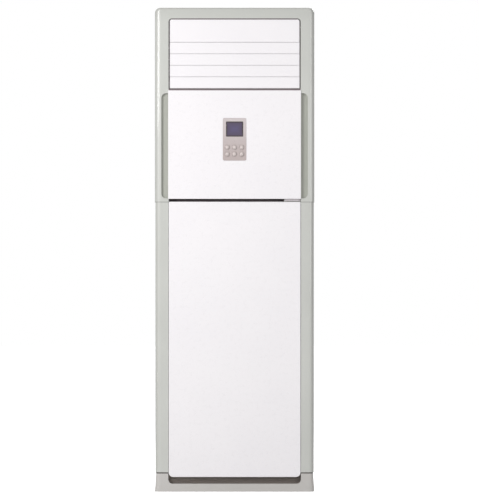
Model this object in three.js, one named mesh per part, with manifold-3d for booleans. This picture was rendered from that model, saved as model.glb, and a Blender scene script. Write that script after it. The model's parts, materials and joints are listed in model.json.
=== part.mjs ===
// Floor standing air conditioner, cabinet type: a centrifugal fan low in the cabinet draws room air
// in through slots beside the front and a lift-out filter, and blows it up through a slanted
// evaporator to a louvred outlet at the top.
// Millimetres, +Z up, the front faces -Y, origin on the floor at the middle of the footprint.

import * as THREE from 'three';
import { mergeVertices } from 'three/addons/utils/BufferGeometryUtils.js';
import Module from 'manifold-3d';

const wasm = await Module();
wasm.setup();

// ---------------------------------------------------------------- driving dimensions

// Cabinet
const HEIGHT = 1850;
const DEPTH = 390;
const WIDTH = 610;                // upper frame, and the foot of the plinth
const LOWER_STEP = 2;               // lower frame and sheets in from the upper frame, each side
const GAP = 0.3;                  // between pieces that seat on each other
const SHEET = 2;                  // cabinet sheet metal
const FLANGE = 14;                // folded edges of the sheets
const RIB_DEPTH = 3;              // ribs pressed into the rear panel
const RIB_HEIGHT = 26;
const RIB_COUNT = 5;
const COVER_DROP = 2;               // top cover below the frame's top

// Front, stacked from the button tips back to the frame
const BUTTON_PROUD = 2;
const BEZEL_PROUD = 1;
const PANEL_PROUD = 4;            // middle panel beyond the frame
const LOWER_PANEL_PROUD = 2.5;
const LOUVRE_RECESS = 4;          // louvres behind the frame's face

// Frames
const FRAME_DEPTH = 50;
const FRAME_WALL = 3;
const FRAME_ROUND = 10;           // rounding of the frame's outer front edge
const TOP_CORNER = 20;
const STILE = 52.5;               // from the cabinet's side to the opening
const OPENING_CORNER = 13;
const TOP_BAR = 41;
const CROSS_BAR = 7;              // between outlet and middle panel
const LOWER_OPENING_STEP = 1;     // lower opening wider than the upper, each side
const RAIL_SETBACK = 23;          // rails behind the lower frame's face
const RAIL_DEPTH = 15;
const RAIL_HEIGHT = 24;

// Plinth
const PLINTH_HEIGHT = 73;
const PLINTH_FLARE = 5;           // plinth's top in from its foot, each side
const PLINTH_WALL = 4;
const NOTCH_SILL = 30;            // height of the bar under the notch
const NOTCH_CORNER = 16;
const NOTCH_DEPTH = 32;

// Base pan
const PAN_FLOOR = 3;
const PAN_FLANGE = 38;
const PAN_SETBACK = 38;           // from the frame's face back to the pan's front flange

// Front panels
const LOWER_PANEL_GAP = 1.5;      // to the opening, each side
const LOWER_PANEL_BOTTOM = 56;
const LOWER_PANEL_CORNER = 17;
const LOWER_PANEL_DEPTH = 8;
const SLOT_HEIGHT = 14;           // between lower and middle panel
const MIDDLE_PANEL_LAP = 1.5;     // over the opening's edge, each side
const MIDDLE_PANEL_HEIGHT = 415;
const MIDDLE_PANEL_DEPTH = 14;
const PANEL_SKIN = 2.5;
const PANEL_EDGE_ROUND = 1.2;
const PANEL_CROSS_RIBS = 4;

// Finger scoops beside the middle panel
const SCOOP_SIDE = 25;            // from the cabinet's side to the scoop's outer wall
const SCOOP_LENGTH = 402;
const SCOOP_RISE = 2;             // scoop's lower end above the middle panel's bottom edge
const SCOOP_DEPTH = 12;
const SCOOP_CORNER = 18;
const SCOOP_UNDERCUT = 8;         // scoop floor carried on behind the panel's rim

// Outlet
const FASCIA_HEIGHT = 88;
const LOUVRE_COUNT = 4;
const LOUVRE_PITCH = 44;
const LOUVRE_EDGE_GAP = 1;
const LOUVRE_THICKNESS = 5;
const LOUVRE_SIDE_GAP = 4.3;      // louvre end to the opening
const LOUVRE_SWING = 75;          // degrees from closed to fully open
const CHEEK = 2;
const CHEEK_GAP = 0.8;            // louvre end to cheek
const DUCT_DROP = 142;            // duct's foot below the outlet
const DUCT_CURVE = 95;            // radius of the duct's upper rear corner
const DUCT_ABOVE = 44;            // from the duct's roof to the top of the cabinet
const DUCT_REAR_GAP = 4;          // duct to the rear panel's ribs
const ROOF_SETBACK = 18;          // duct's roof behind the frame's face

// Louvre linkage
const PIVOT_RADIUS = 2.2;
const PIVOT_CLEARANCE = 0.5;
const CRANK_RADIUS = 18;
const CRANK_THICKNESS = 1.6;
const CRANK_HALF_WIDTH = 3;
const LINK_THICKNESS = 3;
const LINK_HALF_WIDTH = 4;
const LINK_DROP = 14;             // how far the link's rear arm runs under its last pin
const MOTOR_SETBACK = 32;         // louvre motor shaft behind the louvre axes
const STEPPER_RADIUS = 17.5;
const STEPPER_LENGTH = 19;

// Upright vanes
const VANE_COUNT = 7;
const VANE_SETBACK = 68;          // vane axes behind the frame's face
const VANE_FRONT = 15;
const VANE_REAR = 33;
const VANE_THICKNESS = 2;
const VANE_CRANK = 24;
const VANE_SWING = 35;            // degrees to each side
const VANE_BAR = 12;              // width of the bar under the vanes
const VANE_BAR_RISE = 7;          // bar above the duct's sill
const VANE_LIFT = 4;              // vanes above their bar
const VANE_HEADROOM = 10;         // vanes below the duct's roof

// Control panel
const BEZEL_WIDTH = 89;
const BEZEL_HEIGHT = 162;
const BEZEL_CORNER = 5;
const BEZEL_THICKNESS = 3;
const BEZEL_BELOW_PANEL_TOP = 106;
const WINDOW_WIDTH = 66;
const WINDOW_HEIGHT = 58;
const WINDOW_BELOW_BEZEL_TOP = 13;
const BUTTON_COLUMNS = 3;
const BUTTON_ROWS = 2;
const BUTTON_PITCH_X = 27.6;
const BUTTON_PITCH_Z = 26;
const BUTTON_RADIUS = 9.6;
const BUTTON_FLANGE = 11;
const BUTTON_TRAVEL = 1;
const BUTTON_DEPTH = 4.8;         // from the bezel's face to the cap's rear
const LOWER_BUTTONS_ABOVE_BEZEL = 24;
const LAMP_RADIUS = 2;
const BOARD_STANDOFF = 12;        // board behind the bezel's face
const BOARD_THICKNESS = 1.6;

// Receiver window at the right end of the slot
const RECEIVER_WIDTH = 61;
const RECEIVER_HEIGHT = 8.4;
const RECEIVER_SETBACK = 8;
const RECEIVER_DEPTH = 9.7;
const RECEIVER_RISE = 6;          // above the lower panel
const RECEIVER_INSET = 1.5;       // from the opening's right edge

// Lower panel hinge
const HINGE_BACK = 10;            // behind the panel's face
const HINGE_DOWN = 6;             // below the panel's top edge
const HINGE_INSET = 52.5;         // in from the opening
const HINGE_PIN = 2.5;
const HOOK_RADIUS = 5.2;
const HOOK_THICKNESS = 4;
const HINGE_LUG = 5;

// Fan
const SHELF_HEIGHT = 600;
const FAN_X = -20;
const FAN_HEIGHT = 262;
const WHEEL_RADIUS = 170;
const WHEEL_INNER = 138;
const WHEEL_CLEARANCE = 12;       // wheel's backplate to the scroll
const BLADE_COUNT = 28;
const BLADE_THICKNESS = 2.5;
const BLADE_LEAN = 7;             // degrees from a blade's root to its tip
const WHEEL_SETBACK = 22;         // wheel behind the scroll's front wall
const HUB_RADIUS = 22;
const HUB_CONE = 40;
const HUB_LENGTH = 38;
const SHAFT_RADIUS = 6;
const SHAFT_CLEARANCE = 0.4;
const SCROLL_START = 182;
const SCROLL_END = 240;
const SCROLL_SWEEP = 240;         // degrees from the tongue to the outlet's outer wall
const SCROLL_SETBACK = 108;       // scroll behind the frame's face
const SCROLL_WALL = 2;
const SCROLL_LEG_SPREAD = 130;
const INLET_RADIUS = 128;
const INLET_FLANGE = 170;
const BELL_RADIUS = 149;
const MOTOR_RADIUS = 62;
const MOTOR_LENGTH = 62;
const MOTOR_REAR_GAP = 15;
const BRACKET_RADIUS = 108;

// Filter and its guide
const GUIDE_SETBACK = 93;         // behind the frame's face
const GUIDE_THICKNESS = 3;
const FILTER_SIDE = 68;           // from the cabinet's side
const FILTER_BOTTOM = 90;
const FILTER_HEADROOM = 40;       // below the shelf
const FILTER_THICKNESS = 6;
const FILTER_LIFT = 12;
const FILTER_COLUMNS = 4;
const FILTER_ROWS = 5;

// Evaporator
const COIL_SIDE = 43;             // from the cabinet's side
const COIL_HEADROOM = 185;        // below the duct
const COIL_THICKNESS = 50;
const COIL_TOP_SETBACK = 114;     // where the coil leans to, behind the frame's face
const COIL_REAR_GAP = 39.7;       // from the foot's middle to the rear panel's ribs
const FIN_COUNT = 26;
const FIN_GROOVE = 6;
const BEND_COUNT = 5;
const BEND_RADIUS = 11;
const TUBE_RADIUS = 4.5;
const COIL_TAB_LOW = 60;          // tabs that fix the coil to the side panels
const COIL_TAB_HIGH = 140;        // from the coil's upper end
const DRAIN_PAN_HEIGHT = 44;
const DRAIN_PAN_DEPTH = 83;
const DRAIN_PAN_LAP = 16;         // beyond the coil, each side
const SPOUT_RADIUS = 6;
const SPOUT_BORE = 4.5;
const SPOUT_LENGTH = 26;
const CHAMBER_SETBACK = 130;      // chamber plate behind the frame's face
const CHAMBER_STEP_DROP = 13;     // chamber plate's fold under the lower panel's top
const COIL_CLEARANCE = 3;

// Electrical box on the front of the chamber plate
const BOX_WIDTH = 360;
const BOX_CLEARANCE = 42;         // below the chamber plate's fold
const BOX_DEPTH = 60;
const BOX_RISE = 110;             // above the shelf

// Intake slots in the side panels
const INTAKE_SLOTS = 13;
const INTAKE_PITCH = 34;
const INTAKE_SLOT_HEIGHT = 16;
const INTAKE_SLOT_LENGTH = 28;
const INTAKE_BOTTOM = 150;
const INTAKE_SETBACK = 58;        // slots behind the frame's face

// Services
const PIPE_HOLE_SIDE = 68;        // pipe and cable holes, from the cabinet's sides
const PIPE_HOLE_Z = 150;
const PIPE_HOLE_RADIUS = 40;
const GROMMET_WALL = 7;
const CABLE_RADIUS = 12;
const CABLE_BORE = 5;
const GAS_SIDE = 13.7;            // from the side panel
const GAS_AHEAD = 70;             // of the coil's foot
const LIQUID_SIDE = 10.7;
const LIQUID_AHEAD = 100;
const GAS_SHIFT = 10;             // fittings in from where the pipes pass the shelf
const LIQUID_SHIFT = 55;
const FITTING_AHEAD = 40;
const FITTING_LENGTH = 24;
const PIPE_RUN = 160;             // slanting run beside the coil
const PIPE_STRAIGHT = 60;         // straight length each side of the shelf
const GAS_PIPE_RADIUS = 9.5;
const LIQUID_PIPE_RADIUS = 6.4;
const HOSE_RADIUS = 9.5;
const HOSE_BORE = 7;
const PASSAGE = 0.7;              // clearance of a pipe in the shelf

// ---------------------------------------------------------------- derived places

const FRAME_FACE = -DEPTH / 2 + BUTTON_PROUD + BEZEL_PROUD + PANEL_PROUD;
const FRAME_REAR = FRAME_FACE + FRAME_DEPTH;
const REAR = DEPTH / 2;
const REAR_INNER = REAR - SHEET;
const INNER_REAR = REAR_INNER - RIB_DEPTH - GAP;
const CABINET_HALF = WIDTH / 2 - LOWER_STEP;
const INNER_HALF = CABINET_HALF - SHEET - GAP;
const FRAME_INNER_HALF = CABINET_HALF - FRAME_WALL - GAP;
const OPENING_HALF = WIDTH / 2 - STILE;
const LOWER_OPENING_HALF = OPENING_HALF + LOWER_OPENING_STEP;
const LOUVRE_LENGTH = 2 * (OPENING_HALF - LOUVRE_SIDE_GAP);
const HINGE_SPREAD = OPENING_HALF - HINGE_INSET;
const PLINTH_TOP_HALF = WIDTH / 2 - PLINTH_FLARE;

const COVER_TOP = HEIGHT - COVER_DROP;
const COVER_CORNER = TOP_CORNER - COVER_DROP;
const COVER_EDGE = COVER_TOP - TOP_CORNER;
const OPENING_TOP = HEIGHT - TOP_BAR;
const ROOF_TOP = HEIGHT - DUCT_ABOVE;
const FASCIA_BOTTOM = ROOF_TOP - FASCIA_HEIGHT;
const LOUVRE_Y = FRAME_FACE + LOUVRE_RECESS + LOUVRE_THICKNESS / 2;
const OUTLET_BOTTOM = FASCIA_BOTTOM - LOUVRE_COUNT * LOUVRE_PITCH;
const DUCT_BOTTOM = OUTLET_BOTTOM - DUCT_DROP;
const MIDDLE_TOP = OUTLET_BOTTOM - LOUVRE_EDGE_GAP - CROSS_BAR;
const CROSS_BAR_TOP = MIDDLE_TOP + CROSS_BAR;
const MIDDLE_BOTTOM = MIDDLE_TOP - MIDDLE_PANEL_HEIGHT;
const LOWER_PANEL_TOP = MIDDLE_BOTTOM - SLOT_HEIGHT;
const SPLIT = LOWER_PANEL_TOP + GAP;
const MIDDLE_FACE = FRAME_FACE - PANEL_PROUD;
const LOWER_FACE = FRAME_FACE - LOWER_PANEL_PROUD;
const CHEEK_INNER = LOUVRE_LENGTH / 2 + CHEEK_GAP;
const CHEEK_OUTER = CHEEK_INNER + CHEEK;
const RAIL_Y = FRAME_FACE + RAIL_SETBACK;
const HINGE_Y = LOWER_FACE + HINGE_BACK;
const HINGE_Z = LOWER_PANEL_TOP - HINGE_DOWN;
const BACKBONE_Y = RAIL_Y + RAIL_DEPTH + GAP;

const SILL_TOP = OUTLET_BOTTOM - GAP;
const ROOF_FRONT = FRAME_FACE + ROOF_SETBACK;
const DUCT_REAR = INNER_REAR - DUCT_REAR_GAP;
const LINK_OUTER = -(CHEEK_OUTER + GAP + CRANK_THICKNESS + 2 * GAP + LINK_THICKNESS);
const MOTOR_Y = LOUVRE_Y + MOTOR_SETBACK;
const MOTOR_Z = louvreHeights()[LOUVRE_COUNT - 2];
const VANE_PITCH = LOUVRE_LENGTH / (VANE_COUNT + 0.5);
const VANE_Y = FRAME_FACE + VANE_SETBACK;
const VANE_BAR_TOP = SILL_TOP + VANE_BAR_RISE + LINK_THICKNESS;
const VANE_BOTTOM = VANE_BAR_TOP + VANE_LIFT;
const VANE_TOP = ROOF_TOP - VANE_HEADROOM;

const BEZEL_FACE = MIDDLE_FACE - BEZEL_PROUD;
const BEZEL_INNER = BEZEL_FACE + BEZEL_THICKNESS;
const BEZEL_REAR = MIDDLE_FACE + PANEL_SKIN + GAP + 1.5;
const BEZEL_BOTTOM = MIDDLE_TOP - BEZEL_BELOW_PANEL_TOP - BEZEL_HEIGHT;
const WINDOW_BOTTOM = BEZEL_BOTTOM + BEZEL_HEIGHT - WINDOW_BELOW_BEZEL_TOP - WINDOW_HEIGHT;
const BUTTON_REAR = BEZEL_FACE + BUTTON_DEPTH;
const BOARD_FRONT = BEZEL_FACE + BOARD_STANDOFF;
const RECEIVER_LEFT = OPENING_HALF - RECEIVER_INSET - RECEIVER_WIDTH;
const RECEIVER_BOTTOM = LOWER_PANEL_TOP + RECEIVER_RISE;
const RECEIVER_FACE = FRAME_FACE + RECEIVER_SETBACK;
const RECEIVER_REAR = RECEIVER_FACE + RECEIVER_DEPTH;

const SCROLL_FRONT = FRAME_FACE + SCROLL_SETBACK;
const SCROLL_DEPTH = INNER_REAR - MOTOR_REAR_GAP - MOTOR_LENGTH - SHEET - 2 * GAP - SCROLL_FRONT;
const WHEEL_FRONT = SCROLL_FRONT + WHEEL_SETBACK;
const WHEEL_WIDTH = SCROLL_DEPTH - WHEEL_SETBACK - WHEEL_CLEARANCE;
const HUB_FRONT = WHEEL_FRONT + WHEEL_WIDTH - HUB_LENGTH;
const GUIDE_FRONT = FRAME_FACE + GUIDE_SETBACK;
const FILTER_FRONT = GUIDE_FRONT - 1 - FILTER_THICKNESS;
const FILTER_WIDTH = 2 * (CABINET_HALF - FILTER_SIDE);
const FILTER_HEIGHT = SHELF_HEIGHT - FILTER_HEADROOM - FILTER_BOTTOM;

const COIL_WIDTH = 2 * (CABINET_HALF - COIL_SIDE);
const COIL_FOOT_Y = INNER_REAR - COIL_REAR_GAP;
const TILT = Math.atan2(
  COIL_FOOT_Y - FRAME_FACE - COIL_TOP_SETBACK,
  DUCT_BOTTOM - COIL_HEADROOM - SHELF_HEIGHT,
);
const COIL_FOOT_Z = SHELF_HEIGHT + 2 * SHEET + 2 * GAP + (COIL_THICKNESS / 2) * Math.sin(TILT);
const COIL_LENGTH = (DUCT_BOTTOM - COIL_HEADROOM - COIL_FOOT_Z) / Math.cos(TILT);
const BEND_PITCH = COIL_LENGTH / (BEND_COUNT + 1);
const DRAIN_PAN_WIDTH = COIL_WIDTH + 2 * DRAIN_PAN_LAP;
const CHAMBER_PLATE_Y = FRAME_FACE + CHAMBER_SETBACK;
const COIL_REACHES_PLATE = COIL_FOOT_Z - (COIL_THICKNESS / 2) * Math.sin(TILT)
  + (COIL_FOOT_Y - (COIL_THICKNESS / 2) * Math.cos(TILT) - CHAMBER_PLATE_Y) / Math.tan(TILT);
const CHAMBER_STEP_HEIGHT = Math.min(
  COIL_REACHES_PLATE - (SHEET + COIL_CLEARANCE) / Math.sin(TILT),
  LOWER_PANEL_TOP - CHAMBER_STEP_DROP,
);
const BOX_BOTTOM = SHELF_HEIGHT + BOX_RISE;
const BOX_HEIGHT = CHAMBER_STEP_HEIGHT - BOX_CLEARANCE - BOX_BOTTOM;

const PIPE_HOLE_X = CABINET_HALF - PIPE_HOLE_SIDE;
const CABLE_X = -PIPE_HOLE_X;
const GAS_X = INNER_HALF - GAS_SIDE;
const GAS_Y = COIL_FOOT_Y - GAS_AHEAD;
const LIQUID_X = INNER_HALF - LIQUID_SIDE;
const LIQUID_Y = COIL_FOOT_Y - LIQUID_AHEAD;
const FITTING_Y = COIL_FOOT_Y - FITTING_AHEAD;

// ---------------------------------------------------------------- materials

function paint(color, roughness, metalness = 0) {
  return new THREE.MeshStandardMaterial({ color, roughness, metalness });
}

const frameGrey = paint(0xc6c7c2, 0.42);
const plinthGrey = paint(0xb7b7b1, 0.5);
const panelWhite = paint(0xf1f0f2, 0.3);
const louvreWhite = paint(0xf5f4f5, 0.35);
const bezelGrey = paint(0xc8bdba, 0.45);
const buttonGrey = paint(0xcfc4c1, 0.35);
const windowDark = paint(0x4d4560, 0.12);
const receiverGrey = paint(0xb4aeb1, 0.25);
const boardGreen = paint(0x2f5a3c, 0.6);
const zincSteel = paint(0xa9adb0, 0.45, 0.8);
const paintedSteel = paint(0xc2c3bf, 0.5, 0.2);
const ductWhite = paint(0xe4e4e2, 0.7);
const mechanismGrey = paint(0x8d9092, 0.5);
const stepperSteel = paint(0xb9bcbe, 0.35, 0.9);
const finAluminium = paint(0xb7c4c9, 0.4, 0.9);
const copper = paint(0xb87245, 0.35, 0.95);
const fanPlastic = paint(0x5b6063, 0.55);
const motorBlack = paint(0x2d2f31, 0.5, 0.3);
const filterBlue = paint(0x6d8ea3, 0.8);
const rubberBlack = paint(0x26282a, 0.85);
const hoseGrey = paint(0xd8d8d2, 0.7);

// ---------------------------------------------------------------- solids

// A closed geometry becomes a solid that can be joined and cut.
function solid(geometry) {
  const bare = geometry.index ? geometry.toNonIndexed() : geometry.clone();
  bare.deleteAttribute('normal');
  bare.deleteAttribute('uv');
  const merged = mergeVertices(bare, 1e-4);
  const vertProperties = new Float32Array(merged.attributes.position.array);
  const corners = merged.index.array;
  const kept = [];
  for (let i = 0; i < corners.length; i += 3) {
    const [a, b, c] = corners.subarray(i, i + 3);
    if (a !== b && b !== c && c !== a) kept.push(a, b, c);
  }
  const triVerts = new Uint32Array(kept);
  return new wasm.Manifold(new wasm.Mesh({ numProp: 3, vertProperties, triVerts }));
}

function toGeometry(manifold) {
  const { vertProperties, triVerts, numProp } = manifold.getMesh();
  const geometry = new THREE.BufferGeometry();
  const positions = new Float32Array((vertProperties.length / numProp) * 3);
  for (let i = 0; i * numProp < vertProperties.length; i += 1) {
    positions.set(vertProperties.subarray(i * numProp, i * numProp + 3), i * 3);
  }
  geometry.setAttribute('position', new THREE.BufferAttribute(positions, 3));
  geometry.setIndex(new THREE.BufferAttribute(new Uint32Array(triVerts), 1));
  geometry.computeVertexNormals();
  return geometry;
}

function join(...parts) {
  return parts.reduce((whole, part) => whole.add(part));
}

function cut(whole, ...tools) {
  return tools.reduce((left, tool) => left.subtract(tool), whole);
}

function block(x0, x1, y0, y1, z0, z1) {
  const geometry = new THREE.BoxGeometry(x1 - x0, y1 - y0, z1 - z0);
  geometry.translate((x0 + x1) / 2, (y0 + y1) / 2, (z0 + z1) / 2);
  return solid(geometry);
}

function mirrored(manifold) {
  return manifold.mirror([1, 0, 0]);
}

function bothSides(manifold) {
  return join(manifold, mirrored(manifold));
}

// Extrusions of an outline drawn in (x, z), (y, z) or (x, y).
function extrude(shape, depth, options = {}) {
  return new THREE.ExtrudeGeometry(shape, { depth, bevelEnabled: false, curveSegments: 3, ...options });
}

function alongY(shape, y0, y1, options) {
  const geometry = extrude(shape, y1 - y0, options);
  geometry.rotateX(Math.PI / 2);
  geometry.translate(0, y1, 0);
  return solid(geometry);
}

function alongX(shape, x0, x1, options) {
  const geometry = extrude(shape, x1 - x0, options);
  const turn = new THREE.Matrix4().makeBasis(
    new THREE.Vector3(0, 1, 0),
    new THREE.Vector3(0, 0, 1),
    new THREE.Vector3(1, 0, 0),
  );
  geometry.applyMatrix4(turn);
  geometry.translate(x0, 0, 0);
  return solid(geometry);
}

function alongZ(shape, z0, z1, options) {
  const geometry = extrude(shape, z1 - z0, options);
  geometry.translate(0, 0, z0);
  return solid(geometry);
}

// A block whose edges are rounded on its front (low y) side and cut square at the back.
function roundedFront(shape, y0, y1, radius, segments = 3) {
  const geometry = extrude(shape, y1 - y0, {
    bevelEnabled: true,
    bevelThickness: radius,
    bevelSize: radius,
    bevelOffset: -radius,
    bevelSegments: segments,
  });
  geometry.rotateX(Math.PI / 2);
  geometry.translate(0, y1 + radius, 0);
  const far = 4000;
  return cut(solid(geometry), block(-far, far, y1, y1 + far, -far, far));
}

// Rectangle with its own radius at the top and at the bottom corners.
function rectangle(x0, x1, z0, z1, topRadius = 0, bottomRadius = topRadius) {
  const shape = new THREE.Shape();
  shape.moveTo(x0 + bottomRadius, z0);
  shape.lineTo(x1 - bottomRadius, z0);
  if (bottomRadius) shape.absarc(x1 - bottomRadius, z0 + bottomRadius, bottomRadius, -Math.PI / 2, 0);
  shape.lineTo(x1, z1 - topRadius);
  if (topRadius) shape.absarc(x1 - topRadius, z1 - topRadius, topRadius, 0, Math.PI / 2);
  shape.lineTo(x0 + topRadius, z1);
  if (topRadius) shape.absarc(x0 + topRadius, z1 - topRadius, topRadius, Math.PI / 2, Math.PI);
  shape.lineTo(x0, z0 + bottomRadius);
  if (bottomRadius) {
    shape.absarc(x0 + bottomRadius, z0 + bottomRadius, bottomRadius, Math.PI, Math.PI * 1.5);
  }
  return shape;
}

function outline(points) {
  return new THREE.Shape(points.map(([u, v]) => new THREE.Vector2(u, v)));
}

function circle(u, v, radius, sides = 12) {
  const points = [];
  for (let i = 0; i < sides; i += 1) {
    const angle = (2 * Math.PI * i) / sides;
    points.push([u + radius * Math.cos(angle), v + radius * Math.sin(angle)]);
  }
  return outline(points);
}

// A strip of constant thickness that follows points, to the left of their direction.
function strip(points, thickness) {
  const inner = points.map((point, i) => {
    const before = points[Math.max(i - 1, 0)];
    const after = points[Math.min(i + 1, points.length - 1)];
    const incoming = new THREE.Vector2(point[0] - before[0], point[1] - before[1]).normalize();
    const outgoing = new THREE.Vector2(after[0] - point[0], after[1] - point[1]).normalize();
    if (i === 0) incoming.copy(outgoing);
    if (i === points.length - 1) outgoing.copy(incoming);
    const bisector = new THREE.Vector2(-incoming.y - outgoing.y, incoming.x + outgoing.x).normalize();
    const reach = thickness / (bisector.x * -incoming.y + bisector.y * incoming.x);
    return [point[0] + bisector.x * reach, point[1] + bisector.y * reach];
  });
  return outline([...points, ...inner.reverse()]);
}

function arcPoints(u, v, radius, from, to, steps) {
  const points = [];
  for (let i = 0; i <= steps; i += 1) {
    const angle = THREE.MathUtils.degToRad(from + ((to - from) * i) / steps);
    points.push([u + radius * Math.cos(angle), v + radius * Math.sin(angle)]);
  }
  return points;
}

// A revolve about the Y axis through (x, z); the profile is in (radius, y).
function revolveY(profile, x, z, segments = 24) {
  const points = [...profile, profile[0]].map(([r, y]) => new THREE.Vector2(r, y));
  const geometry = new THREE.LatheGeometry(points, segments);
  geometry.translate(x, 0, z);
  const whole = solid(geometry);
  return whole.volume() < 0 ? solid(flipped(geometry)) : whole;
}

function flipped(geometry) {
  const turned = geometry.toNonIndexed();
  const position = turned.attributes.position;
  for (let i = 0; i < position.count; i += 3) {
    const a = new THREE.Vector3().fromBufferAttribute(position, i);
    const b = new THREE.Vector3().fromBufferAttribute(position, i + 1);
    position.setXYZ(i, b.x, b.y, b.z);
    position.setXYZ(i + 1, a.x, a.y, a.z);
  }
  return turned;
}

// A round bar or tube along a smooth line through the given points.
function tube(points, radius, bore = 0, steps = 16, sides = 8) {
  const path = new THREE.CatmullRomCurve3(points.map((p) => new THREE.Vector3(...p)), false, 'chordal');
  const section = circle(0, 0, radius, sides);
  if (bore) section.holes.push(circle(0, 0, bore, sides));
  return solid(new THREE.ExtrudeGeometry(section, { steps, extrudePath: path, bevelEnabled: false }));
}

const unit = new THREE.Group();

function place(name, manifold, material, position = [0, 0, 0]) {
  const mesh = new THREE.Mesh(toGeometry(manifold), material);
  mesh.name = name;
  mesh.position.set(...position);
  unit.add(mesh);
  return mesh;
}

// ---------------------------------------------------------------- cabinet

function plinth() {
  const half = WIDTH / 2;
  const outer = rectangle(-half, half, FRAME_FACE, REAR, 0, FRAME_ROUND);
  const inner = rectangle(
    -half + PLINTH_WALL,
    half - PLINTH_WALL,
    FRAME_FACE + PLINTH_WALL,
    REAR - PLINTH_WALL,
    0,
    FRAME_ROUND - PLINTH_WALL,
  );
  outer.holes.push(inner);
  const top = PLINTH_HEIGHT - GAP;
  const taper = PLINTH_TOP_HALF / half;
  const skirt = alongZ(outer, 0, top).warp((vertex) => {
    vertex[0] *= 1 + ((taper - 1) * vertex[2]) / top;
  });
  const notch = (grow, over) =>
    rectangle(
      -LOWER_OPENING_HALF - grow,
      LOWER_OPENING_HALF + grow,
      NOTCH_SILL - grow,
      top + over,
      0,
      NOTCH_CORNER + grow,
    );
  const lip = alongY(notch(FRAME_WALL, 0), FRAME_FACE + 1, FRAME_FACE + NOTCH_DEPTH);
  const opening = alongY(notch(0, 1), FRAME_FACE - 1, FRAME_FACE + NOTCH_DEPTH + 1);
  return cut(join(skirt, lip), opening);
}

function basePan() {
  const half = PLINTH_TOP_HALF - PLINTH_WALL - GAP;
  const front = FRAME_FACE + PAN_SETBACK;
  const rear = REAR - PLINTH_WALL - GAP;
  const tray = block(-half, half, front, rear, 0, PAN_FLANGE);
  const hollow = block(-half + SHEET, half - SHEET, front + SHEET, rear - SHEET, PAN_FLOOR, HEIGHT);
  return cut(tray, hollow);
}

// Sheet steel side, folded in at the bottom and the rear, with a column of intake slots.
function sidePanel() {
  const bottom = PLINTH_HEIGHT;
  const top = COVER_EDGE - GAP;
  const front = FRAME_REAR + GAP;
  const rear = REAR_INNER - GAP;
  const sheet = rectangle(front, REAR, bottom, top);
  for (let i = 0; i < INTAKE_SLOTS; i += 1) {
    const z = INTAKE_BOTTOM + i * INTAKE_PITCH;
    const y = FRAME_FACE + INTAKE_SETBACK;
    sheet.holes.push(rectangle(y, y + INTAKE_SLOT_LENGTH, z, z + INTAKE_SLOT_HEIGHT));
  }
  return join(
    alongX(sheet, CABINET_HALF - SHEET, CABINET_HALF),
    block(CABINET_HALF - FLANGE, CABINET_HALF, rear - SHEET, rear, bottom, top),
    block(CABINET_HALF - FLANGE, CABINET_HALF, front, rear, bottom, bottom + SHEET),
  );
}

function rearPanel() {
  const top = COVER_TOP - SHEET - GAP;
  const sheet = rectangle(-INNER_HALF, INNER_HALF, PLINTH_HEIGHT, top, COVER_CORNER - SHEET, 0);
  sheet.holes.push(circle(PIPE_HOLE_X, PIPE_HOLE_Z, PIPE_HOLE_RADIUS, 20));
  sheet.holes.push(circle(CABLE_X, PIPE_HOLE_Z, CABLE_RADIUS, 12));
  let panel = alongY(sheet, REAR_INNER, REAR);
  for (let i = 1; i <= RIB_COUNT; i += 1) {
    const z = PLINTH_HEIGHT + ((top - PLINTH_HEIGHT) * i) / (RIB_COUNT + 1);
    const rib = (inset) => {
      const halfLength = INNER_HALF - 2 * FLANGE - inset;
      const halfHeight = RIB_HEIGHT / 2 - inset;
      return rectangle(-halfLength, halfLength, z - halfHeight, z + halfHeight);
    };
    const ridge = alongY(rib(0), REAR_INNER - RIB_DEPTH, REAR_INNER + 1);
    const groove = alongY(rib(SHEET), REAR_INNER - RIB_DEPTH + SHEET, REAR + 1);
    panel = cut(join(panel, ridge), groove);
  }
  return panel;
}

function topCover() {
  const outline = (inset, bottom) =>
    rectangle(
      -CABINET_HALF + inset,
      CABINET_HALF - inset,
      bottom,
      COVER_TOP - inset,
      COVER_CORNER - inset,
      0,
    );
  return cut(
    alongY(outline(0, COVER_EDGE), FRAME_REAR + GAP, REAR),
    alongY(outline(SHEET, COVER_EDGE - 1), FRAME_REAR, REAR + 1),
  );
}

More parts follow.
